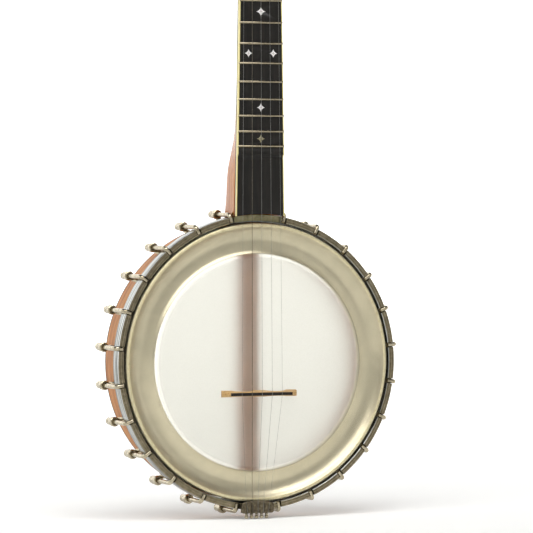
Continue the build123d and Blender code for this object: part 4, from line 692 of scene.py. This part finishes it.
class BANJO_OT_tone_ring(bpy.types.Operator):
    """Spin the tone ring: skirt, bead under the head, and dished flange"""

    bl_idname = "banjo.tone_ring"
    bl_label = "Tone ring"

    def execute(self, context):
        steps = context.scene.banjo_pot.facets
        skirt_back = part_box("tone_ring")[1].y
        crown_r = RING_R - BEAD_R
        inner_skirt = RING_R - RING_WALL + 0.05 * MM
        dish_y = BEAD_Y + 7.75 * MM
        lip_y = BEAD_Y + 3.95 * MM
        outer = [(RING_R, skirt_back), (RING_R, BEAD_Y + 2.2 * MM)]
        bead = arc((crown_r, BEAD_Y + BEAD_R), BEAD_R, 0, -125, 10)
        half_span = (crown_r - RING_LIP_R) / 2
        dish = []
        for step in range(1, 16):
            share = step / 16
            radius = bead[-1][0] + (RING_LIP_R - bead[-1][0]) * share
            fall = (radius - DISH_R) / half_span
            rim_y = BEAD_Y + 1.0 * MM if radius > DISH_R else lip_y
            dish.append((radius, dish_y + (rim_y - dish_y) * min(fall * fall, 1.0)))
        lip = arc((RING_LIP_R, lip_y + 0.65 * MM), 0.65 * MM, -90, -270, 6)
        under = [(radius, depth + RING_WALL) for radius, depth in reversed(dish[:-1])]
        inner = [(crown_r, BEAD_Y + 1.5 * MM), (inner_skirt, BEAD_Y + 2.8 * MM), (inner_skirt, skirt_back)]
        ring = turned("spun_tone_ring", outer + bead + dish + lip + under + inner, steps)
        finish_piece(ring, [spun_ring_plate(), rubbed_bead_painted_highlight()], "ring_brass", "tone_ring")
        # the bead's faces get the pale metal: a painted highlight along the bead, over its rubbed wear
        for face in ring.data.polygons:
            on_bead_painted_highlight = math.hypot(face.center.x, face.center.z) > crown_r - 1.4 * MM
            face.material_index = 1 if on_bead_painted_highlight and face.center.y < BEAD_Y + 1.6 * MM else 0
        return {"FINISHED"}


class BANJO_OT_head(bpy.types.Operator):
    """Stretch the frosted head over the ring and down to its flesh hoop"""

    bl_idname = "banjo.head"
    bl_label = "Head"

    def execute(self, context):
        steps = context.scene.banjo_pot.facets
        crown = 2.5 * MM
        bend = (COLLAR_R - crown, HEAD_Y + crown)
        flats = (0.0, 60 * MM, 120 * MM)
        front = [(radius, HEAD_Y) for radius in flats]
        over = arc(bend, crown, -90, 0, 8)
        back = arc(bend, crown - FILM, 0, -90, 8)
        rear = [(radius, HEAD_Y + FILM) for radius in reversed(flats)]
        collar = [(COLLAR_R, HEAD_BACK), (COLLAR_R - FILM, HEAD_BACK)]
        head = turned("drum_head_film", front + over + collar + back + rear, steps)
        finish_piece(head, [frosted_film()], "head_film", "drum_head")
        inside = COLLAR_R + 0.05 * MM
        wire = [
            (inside, HOOP_BACK + 0.02 * MM), (FLESH_R - 0.5 * MM, HOOP_BACK + 0.02 * MM),
            (FLESH_R, HOOP_BACK + 0.5 * MM), (FLESH_R, FLESH_BACK - 0.5 * MM),
            (FLESH_R - 0.5 * MM, FLESH_BACK), (inside, FLESH_BACK),
        ]
        hoop = turned("flesh_hoop_wire", wire, steps)
        finish_piece(hoop, [plain_steel()], "steel", "flesh_hoop")
        return {"FINISHED"}


class BANJO_OT_tension_hoop(bpy.types.Operator):
    """Make the grooved and notched tension hoop"""

    bl_idname = "banjo.tension_hoop"
    bl_label = "Tension hoop"

    def execute(self, context):
        settings = context.scene.banjo_pot
        inner = HOOP_R - HOOP_T
        cut = 0.5 * MM
        outline = [(inner, HOOP_BACK), (HOOP_R - cut, HOOP_BACK), (HOOP_R, HOOP_BACK - cut),
                   (HOOP_R, HOOP_FRONT + 0.7 * MM), (HOOP_R - 0.2 * MM, HOOP_FRONT + 0.2 * MM),
                   (HOOP_R - 0.7 * MM, HOOP_FRONT)]
        for groove in (HOOP_R - 1.9 * MM, HOOP_R - 4.3 * MM):
            outline += [(groove + 0.4 * MM, HOOP_FRONT), (groove + 0.2 * MM, HOOP_FRONT + cut),
                        (groove - 0.2 * MM, HOOP_FRONT + cut), (groove - 0.4 * MM, HOOP_FRONT)]
        outline += [(inner + 0.5 * MM, HOOP_FRONT), (inner, HOOP_FRONT + 0.5 * MM)]
        hoop = turned("tension_hoop_ring", outline, settings.facets)
        self.cut_notches(hoop)
        self.lower_gap(hoop)
        finishes = [silver_hoop_sides(), olive_hoop_front(), khaki_hoop_gap()]
        finish_piece(hoop, finishes, "nickel_dark", "tension_hoop")
        # front faces get the darker olive-grey, those beside the neck the khaki, and every other face the
        # silver
        for face in hoop.data.polygons:
            beside_neck = face.center.z > 0 and abs(face.center.x) < HOOP_R * math.sin(FIRST_HOOK * 0.9)
            if face.normal.y < -0.75:
                face.material_index = 2 if beside_neck else 1
        smooth(hoop, 30)
        return {"FINISHED"}

    def cut_notches(self, hoop):
        """Cuts the hooks' notches with one joined cutter."""
        width = 5.2 * MM
        depth = 5.0 * MM
        height = 2 * depth              # of the cutter, which stands out of the hoop by half
        middle = (0.0, HOOP_FRONT + depth - height / 2, HOOP_R - HOOP_T / 2)
        block = block_at("notch_block", (width, height, HOOP_T + 8 * MM), middle)
        self.cut_away(hoop, set_round_pot("hook_notches", round_edges(block, 0.6 * MM)))

    def lower_gap(self, hoop):
        """Planes the front face down between the two hooks beside the neck."""
        half_turn = math.radians(9.4)
        size = (2 * HOOP_R * math.sin(half_turn), 6 * MM, 24 * MM)
        self.cut_away(hoop, block_at("gap_block", size, (0.0, HOOP_FRONT - 0.4 * MM, HOOP_R - HOOP_T / 2)))

    def cut_away(self, hoop, cutter):
        """Takes the cutter's shape out of the hoop and removes the cutter."""
        choose(hoop)
        cut = hoop.modifiers.new("cut", "BOOLEAN")
        cut.operation = "DIFFERENCE"
        cut.solver = "EXACT"
        cut.object = cutter
        bpy.ops.object.modifier_apply(modifier=cut.name)
        bpy.data.objects.remove(cutter)


class BANJO_OT_hooks(bpy.types.Operator):
    """Bend the hooks and turn their closed nuts"""

    bl_idname = "banjo.hooks"
    bl_label = "Hooks and nuts"

    def execute(self, context):
        nickel = aged_nickel()
        hooks = set_round_pot("bracket_hook_rods", self.one_hook())
        finish_piece(smooth(hooks), [nickel], "nickel", "bracket_hooks")
        nuts = set_round_pot("closed_hook_nuts", self.one_nut())
        finish_piece(smooth(nuts, 28), [nickel], "nickel", "hook_nuts")
        return {"FINISHED"}

    def one_hook(self):
        """One round hook: its end over the hoop, a tight bend, and a long shank."""
        deselect_all()
        tip_z = HOOP_R - 5.3 * MM
        tip_share = 0.72        # of the hook's radius, at its very end
        bend_z = HOOK_CIRCLE - HOOK_BEND
        bpy.ops.mesh.primitive_circle_add(
            vertices=16, radius=HOOK_R * tip_share, fill_type="NGON", location=(0.0, HOOK_TOP, tip_z))
        hook = name_new("one_hook")
        edit_all()
        rounding = 0.6 * MM
        draw_out(0.0, 0.0, rounding)
        bpy.ops.transform.resize(value=(1 / tip_share, 1 / tip_share, 1.0),
                                 center_override=(0.0, HOOK_TOP, tip_z + rounding))
        draw_out(0.0, 0.0, bend_z - tip_z - rounding)
        bpy.ops.mesh.spin(steps=8, angle=math.pi / 2, center=(0.0, HOOK_TOP + HOOK_BEND, bend_z),
                          axis=(1.0, 0.0, 0.0))
        shank = EYE_BACK + 8 * MM - (HOOK_TOP + HOOK_BEND)
        draw_out(0.0, shank, 0.0)
        bpy.ops.object.mode_set(mode="OBJECT")
        return close_up(hook)

    def one_nut(self):
        """One closed nut: hexagon flange, waist, collar with a groove, and domed end."""
        axis = (0.0, 0.0, HOOK_CIRCLE)
        base = EYE_BACK
        body_r = 3.9 * MM
        neck_r = 3.1 * MM
        dome_height = 2.6 * MM
        dome = NUT_END - dome_height
        flange_length = 4.5 * MM
        outline = [(0.0, base + 3.0 * MM), (neck_r, base + 3.0 * MM), (neck_r, base + 5.4 * MM),
                   (body_r - 0.2 * MM, base + 6.0 * MM), (body_r, base + 6.3 * MM)]
        outline += [(body_r, dome - 1.4 * MM), (body_r - 0.5 * MM, dome - 1.0 * MM),
                    (body_r - 0.5 * MM, dome - 0.6 * MM), (body_r, dome - 0.2 * MM)]
        for step in range(1, 7):
            turn = math.radians(90 * step / 6)
            outline.append((body_r * math.cos(turn), dome + dome_height * math.sin(turn)))
        body = turned("nut_body", outline, 20, centre=axis)
        deselect_all()
        bpy.ops.mesh.primitive_cylinder_add(
            vertices=6, radius=4.85 * MM, depth=flange_length, rotation=(math.pi / 2, 0.0, 0.0),
            location=(0.0, base + flange_length / 2, HOOK_CIRCLE))
        flange = round_edges(name_new("nut_flange"), 0.4 * MM)
        return joined("one_nut", [body, flange])


class BANJO_OT_shoes(bpy.types.Operator):
    """Shape the shoes: a round foot on the rim, a curved arm and an eye for the hook"""

    bl_idname = "banjo.shoes"
    bl_label = "Shoes"

    def execute(self, context):
        shoes = set_round_pot("bracket_shoe_castings", self.one_shoe())
        finish_piece(smooth(shoes, 40), [aged_nickel()], "nickel", "bracket_shoes")
        steel = plain_steel()
        finish_copy("shoe_washers", steel, "steel", 0.2 * MM)
        finish_copy("shoe_bolts", steel, "steel", 0.3 * MM)
        return {"FINISHED"}

    def one_shoe(self):
        """One shoe over the top of the pot."""
        seat = RIM_R
        foot_r = 6.2 * MM
        foot = [(0.0, 0.05 * MM), (foot_r - 0.3 * MM, 0.05 * MM), (foot_r, 0.4 * MM), (foot_r, 1.2 * MM),
                (foot_r - 0.5 * MM, 1.9 * MM), (foot_r - 1.6 * MM, 2.4 * MM), (2.9 * MM, 3.0 * MM),
                (0.0, 3.1 * MM)]
        base = turned("shoe_foot", foot, 28, centre=(0.0, SHOE_Y, seat), axis="Z")
        hole = HOOK_R + 0.15 * MM
        length = EYE_BACK - EYE_FRONT
        ring = [(hole, 0.3 * MM), (hole + 0.3 * MM, 0.0), (EYE_R - 0.9 * MM, 0.0),
                (EYE_R - 0.2 * MM, 0.5 * MM), (EYE_R, 1.3 * MM), (EYE_R, length - 1.3 * MM),
                (EYE_R - 0.2 * MM, length - 0.5 * MM),
                (EYE_R - 0.9 * MM, length), (hole + 0.3 * MM, length), (hole, length - 0.3 * MM)]
        eye = turned("shoe_eye", ring, 28, centre=(0.0, EYE_FRONT, HOOK_CIRCLE))
        return joined("one_shoe", [base, eye, self.arm(seat)])

    def arm(self, seat):
        """The arm: a bar that leaves the foot and curves back into the eye."""
        deselect_all()
        turn_y = EYE_FRONT + 1.5 * MM
        sweep_r = turn_y - SHOE_Y
        bend = math.pi / 2 * 0.92       # the bar stops just short of the hook's direction
        start_z = seat + 1.0 * MM
        bpy.ops.mesh.primitive_circle_add(
            vertices=16, radius=2.5 * MM, fill_type="NGON", location=(0.0, SHOE_Y, start_z - 0.4 * MM))
        bar = name_new("shoe_arm")
        edit_all()
        draw_out(0.0, 0.0, 0.4 * MM)
        bpy.ops.mesh.spin(steps=10, angle=bend, center=(0.0, turn_y, start_z),
                          axis=(1.0, 0.0, 0.0))
        bpy.ops.object.mode_set(mode="OBJECT")
        # the arm reaches as far out as the eye's inner side
        reach = (HOOK_CIRCLE - HOOK_R - 2.4 * MM - start_z) / sweep_r
        squeeze = Matrix.Translation((0, 0, start_z)) @ Matrix.Diagonal((1.15, 1.0, reach, 1.0))
        bar.data.transform(squeeze @ Matrix.Translation((0, 0, -start_z)))
        return close_up(bar)


class BANJO_OT_stick(bpy.types.Operator):
    """Finish the dowel stick, its neck brace and the end bolt"""

    bl_idname = "banjo.stick"
    bl_label = "Dowel stick"

    def execute(self, context):
        finish_copy("dowel_stick", clear_maple_stick(), "stick_maple", 0.5 * MM)
        nickel = aged_nickel()
        steel = plain_steel()
        finish_copy("neck_brace", nickel, "nickel", 0.3 * MM)
        for node in ("neck_brace_screws", "neck_brace_jack", "end_bolt", "end_bolt_washer"):
            finish_copy(node, steel, "steel", 0.15 * MM)
        return {"FINISHED"}


class BANJO_OT_tailpiece(bpy.types.Operator):
    """Finish the tailpiece, its hanger and its pins"""

    bl_idname = "banjo.tailpiece"
    bl_label = "Tailpiece"

    def execute(self, context):
        tarnished = tarnished_tailpiece()
        finish_copy("tailpiece", tarnished, "nickel_dark", 0.25 * MM)
        finish_copy("tailpiece_hanger", tarnished, "nickel_dark", 0.3 * MM)
        finish_copy("tailpiece_pins", aged_nickel(), "nickel", 0.15 * MM)
        return {"FINISHED"}


class BANJO_OT_bridge(bpy.types.Operator):
    """Finish the bridge and its ebony strip"""

    bl_idname = "banjo.bridge"
    bl_label = "Bridge"

    def execute(self, context):
        finish_copy("bridge", bare_maple_bridge(), "bridge_maple", 0.3 * MM)
        finish_copy("bridge_strip", oiled_ebony(), "ebony", 0.1 * MM)
        return {"FINISHED"}


class BANJO_OT_neck(bpy.types.Operator):
    """Finish the neck, heel cap and truss rod"""

    bl_idname = "banjo.neck"
    bl_label = "Neck"

    def execute(self, context):
        edge = context.scene.banjo_neck.edge
        finish_copy("neck", cherry_stained_maple_neck(), "neck_wood", 0.0, 40)
        finish_copy("heel_cap", black_stained_cap(), "cap_wood", edge)
        finish_copy("truss_rod", plain_steel(), "steel", 0.15 * MM)
        return {"FINISHED"}


class BANJO_OT_fretboard(bpy.types.Operator):
    """Finish the fretboard, binding, frets, nut and inlays"""

    bl_idname = "banjo.fretboard"
    bl_label = "Fretboard"

    def execute(self, context):
        ivoroid = aged_ivoroid()
        bone = polished_bone()
        ebony = oiled_ebony()
        finish_copy("fretboard", ebony, "ebony")
        finish_copy("fretboard_binding", ivoroid, "ivoroid")
        finish_copy("board_veneer", dyed_veneer(), "veneer")
        finish_copy("frets", nickel_silver_frets(), "fret_wire", 0.35 * MM)
        finish_copy("string_nut", bone, "bone", 0.3 * MM)
        finish_copy("fifth_string_pip", bone, "bone", 0.2 * MM)
        stars = finish_copy("position_inlays", mother_of_pearl(), "pearl")
        stars.data.materials.append(smoked_pearl())
        smoked_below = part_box("frets")[0].z + 24 * MM        # takes in the lowest star only
        for face in stars.data.polygons:
            face.material_index = 1 if face.center.z < smoked_below else 0
        self.engrave(stars, context.scene.banjo_neck.inlay_relief)
        return {"FINISHED"}

    def engrave(self, stars, line):
        """Lays a small four-leaf figure of engraved lines in the middle of each star on the board."""
        marks = []
        for low, high in star_boxes(stars):
            if high.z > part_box("string_nut")[0].z:
                continue
            centre = (low + high) / 2
            size = (high.x - low.x) / 2
            for turn in range(4):
                marks.append(self.leaf(centre, size, line, turn * math.pi / 2))
        figure = joined("star_engraving", marks)
        finish_piece(figure, [engraving_filler()], "pearl")

    def leaf(self, centre, size, line, turn):
        """One engraved leaf line, lying just proud of the star."""
        deselect_all()
        bpy.ops.mesh.primitive_circle_add(vertices=12, radius=1.0, fill_type="NGON")
        leaf = name_new("leaf")
        edit_all()
        draw_out(0.0, 0.0, 1.0)
        bpy.ops.object.mode_set(mode="OBJECT")
        depth = 0.03 * MM
        place = (Matrix.Translation((centre.x, board_face_at(centre.z) - depth, centre.z))
                 @ Matrix.Rotation(turn, 4, "Y")
                 @ Matrix.Translation((0.0, 0.0, size * 0.22))
                 @ Matrix.Rotation(-math.pi / 2, 4, "X")
                 @ Matrix.Diagonal((line / 2, size * 0.2, depth, 1.0)))
        leaf.data.transform(place)
        return close_up(leaf)


def board_face_at(height):
    """Depth of the board's face at a height: it is scooped below the last fret."""
    scoop = 1.8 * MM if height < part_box("frets")[0].z - 6 * MM else 0.0
    return BOARD_FACE + scoop


def star_boxes(stars):
    """Lowest and highest corner of each separate star in the inlays."""
    mesh = stars.data
    group = list(range(len(mesh.vertices)))

    def head(index):
        while group[index] != index:
            group[index] = group[group[index]]
            index = group[index]
        return index

    for edge in mesh.edges:
        first, second = head(edge.vertices[0]), head(edge.vertices[1])
        group[first] = second
    boxes = {}
    for vertex in mesh.vertices:
        low, high = boxes.setdefault(head(vertex.index), (vertex.co.copy(), vertex.co.copy()))
        for axis in range(3):
            low[axis] = min(low[axis], vertex.co[axis])
            high[axis] = max(high[axis], vertex.co[axis])
    return list(boxes.values())


class BANJO_OT_peghead(bpy.types.Operator):
    """Finish the peghead overlay and the truss rod cover"""

    bl_idname = "banjo.peghead"
    bl_label = "Peghead"

    def execute(self, context):
        ebony = oiled_ebony()
        finish_copy("peghead_overlay", ebony, "ebony", 0.3 * MM)
        finish_copy("truss_rod_cover", ebony, "ebony", 0.3 * MM)
        return {"FINISHED"}


class BANJO_OT_tuners(bpy.types.Operator):
    """Finish the four planetary tuners and the fifth string's peg"""

    bl_idname = "banjo.tuners"
    bl_label = "Tuners"

    def execute(self, context):
        nickel = aged_nickel()
        ivoroid = aged_ivoroid()
        steel = plain_steel()
        for node in ("tuner_housings", "tuner_bushing_nuts", "fifth_peg_housing"):
            finish_copy(node, nickel, "nickel", 0.3 * MM)
        for number in range(1, 5):
            spool, knob = f"tuner_{number}_spool", f"tuner_{number}_knob"
            finish_copy(f"tuner_post_{number}", nickel, "nickel", 0.1 * MM, body=spool)
            finish_copy(f"planet_wheels_{number}", steel, "steel", body=spool)
            finish_copy(f"tuner_shaft_{number}", nickel, "nickel", 0.1 * MM, body=knob)
            finish_copy(f"tuner_button_{number}", ivoroid, "ivoroid", 0.5 * MM, body=knob)
        finish_copy("fifth_peg_post", nickel, "nickel", 0.1 * MM, body="fifth_peg_spool")
        finish_copy("fifth_peg_button", ivoroid, "ivoroid", 0.5 * MM, body="fifth_peg_knob")
        return {"FINISHED"}


class BANJO_OT_strings(bpy.types.Operator):
    """Give the strings their wire"""

    bl_idname = "banjo.strings"
    bl_label = "Strings"

    def execute(self, context):
        plain = drawn_string_wire()
        wound = wound_string_wire()
        for number in range(1, 6):
            paint_node(f"string_{number}", wound if number == 4 else plain)
        return {"FINISHED"}


class BANJO_OT_stage(bpy.types.Operator):
    """Set the pale floor, the soft lights and the camera"""

    bl_idname = "banjo.stage"
    bl_label = "Stage"

    def execute(self, context):
        settings = context.scene.banjo_stage
        self.floor()
        self.lights(settings)
        self.camera(settings)
        context.scene.view_settings.view_transform = "Standard"
        world = bpy.data.worlds.new("soft_sky")
        world.use_nodes = True
        sky = world.node_tree.nodes["Background"]
        sky.inputs["Color"].default_value = linear("#f4f5f7")
        sky.inputs["Strength"].default_value = 0.12
        context.scene.world = world
        return {"FINISHED"}

    def floor(self):
        """A wide pale floor that curves up into a wall all round and glows: painted light, brighter towards
        the wall behind.
        """
        reach = 12.0
        curve = 3.0
        outline = [(0.0, FLOOR_Z), (reach - curve, FLOOR_Z)]
        outline += arc((reach - curve, FLOOR_Z + curve), curve, -90, 0, 12)
        outline += [(reach, 9.0), (reach + 0.1, 9.0), (reach + 0.1, FLOOR_Z - 0.1), (0.0, FLOOR_Z - 0.1)]
        sweep = turned("studio_floor", outline, 96, axis="Z")
        stops = ((0.3, "#f0f0ee"), (0.7, "#f5f5f3"))
        material, tree, shader, _ = mottled("white_paint_painted_glow", stops, 600.0, roughness=0.9)
        # painted light: the floor and wall glow, faintly in the front half of the room and brighter towards
        # the wall behind
        parts = add_node(tree, "ShaderNodeSeparateXYZ", {"Vector": object_place(tree)})
        shader.inputs["Emission Color"].default_value = (1.0, 1.0, 1.0, 1.0)
        add_node(tree, "ShaderNodeMapRange", {
            "Value": parts.outputs["Y"], "From Min": -0.6, "From Max": 3.0, "To Min": 0.02, "To Max": 0.88},
            to=shader.inputs["Emission Strength"])
        sweep.data.materials.append(material)

    def lights(self, settings):
        """A large key up on the left, a fill on the right and a light overhead."""
        plan = (
            ("key_light", (-1.7, -1.9, 2.6), 2.4, settings.key),
            ("fill_light", (2.4, -2.4, 0.6), 1.6, settings.fill),
            ("top_light", (0.1, -1.5, 3.0), 2.0, settings.top),
        )
        for name, place, size, power in plan:
            deselect_all()
            bpy.ops.object.light_add(type="AREA", location=place)
            light = bpy.context.object
            light.name = name
            light.data.shape = "DISK"
            light.data.size = size
            light.data.energy = power
            light.rotation_euler = (Vector((0, 0, 0.1)) - Vector(place)).to_track_quat("-Z", "Y").to_euler()

    def camera(self, settings):
        """A long lens at the pot's height, turned to the fifth-string side."""
        aim = Vector((30.8 * MM, -9.4 * MM, 94.5 * MM))
        level = math.cos(settings.rise)
        back = Vector((math.sin(settings.turn) * level, -math.cos(settings.turn) * level,
                       math.sin(settings.rise)))
        deselect_all()
        bpy.ops.object.camera_add(location=aim + back * settings.distance)
        camera = bpy.context.object
        camera.name = "banjo_camera"
        camera.data.lens = settings.lens
        camera.data.sensor_width = 36.0
        camera.data.clip_end = 100.0
        camera.rotation_euler = (-back).to_track_quat("-Z", "Y").to_euler()
        bpy.context.scene.camera = camera


STEPS = (
    BANJO_OT_rim, BANJO_OT_tone_ring, BANJO_OT_head, BANJO_OT_tension_hoop, BANJO_OT_hooks, BANJO_OT_shoes,
    BANJO_OT_stick, BANJO_OT_tailpiece, BANJO_OT_bridge, BANJO_OT_neck, BANJO_OT_fretboard,
    BANJO_OT_peghead, BANJO_OT_tuners, BANJO_OT_strings, BANJO_OT_stage,
)
SETTINGS = (BanjoPotSettings, BanjoNeckSettings, BanjoStageSettings)


class BANJO_PT_panel(bpy.types.Panel):
    """Lists the banjo's settings and steps"""

    bl_idname = "BANJO_PT_panel"
    bl_label = "Banjo"
    bl_space_type = "VIEW_3D"
    bl_region_type = "UI"
    bl_category = "Banjo"

    def draw(self, context):
        for group in (context.scene.banjo_pot, context.scene.banjo_neck, context.scene.banjo_stage):
            box = self.layout.box()
            for name in group.__annotations__:
                box.prop(group, name)
        for step in STEPS:
            self.layout.operator(step.bl_idname)


def register():
    """Registers the settings, the steps and the panel."""
    for item in SETTINGS + STEPS + (BANJO_PT_panel,):
        bpy.utils.register_class(item)
    bpy.types.Scene.banjo_pot = PointerProperty(type=BanjoPotSettings)
    bpy.types.Scene.banjo_neck = PointerProperty(type=BanjoNeckSettings)
    bpy.types.Scene.banjo_stage = PointerProperty(type=BanjoStageSettings)


def unregister():
    """Removes everything that register added."""
    del bpy.types.Scene.banjo_stage
    del bpy.types.Scene.banjo_neck
    del bpy.types.Scene.banjo_pot
    for item in reversed(SETTINGS + STEPS + (BANJO_PT_panel,)):
        bpy.utils.unregister_class(item)


def main():
    """Registers the add-on, then makes every piece in order."""
    register()
    for step in STEPS:
        group, name = step.bl_idname.split(".")
        getattr(getattr(bpy.ops, group), name)()


if __name__ == "__main__":
    main()
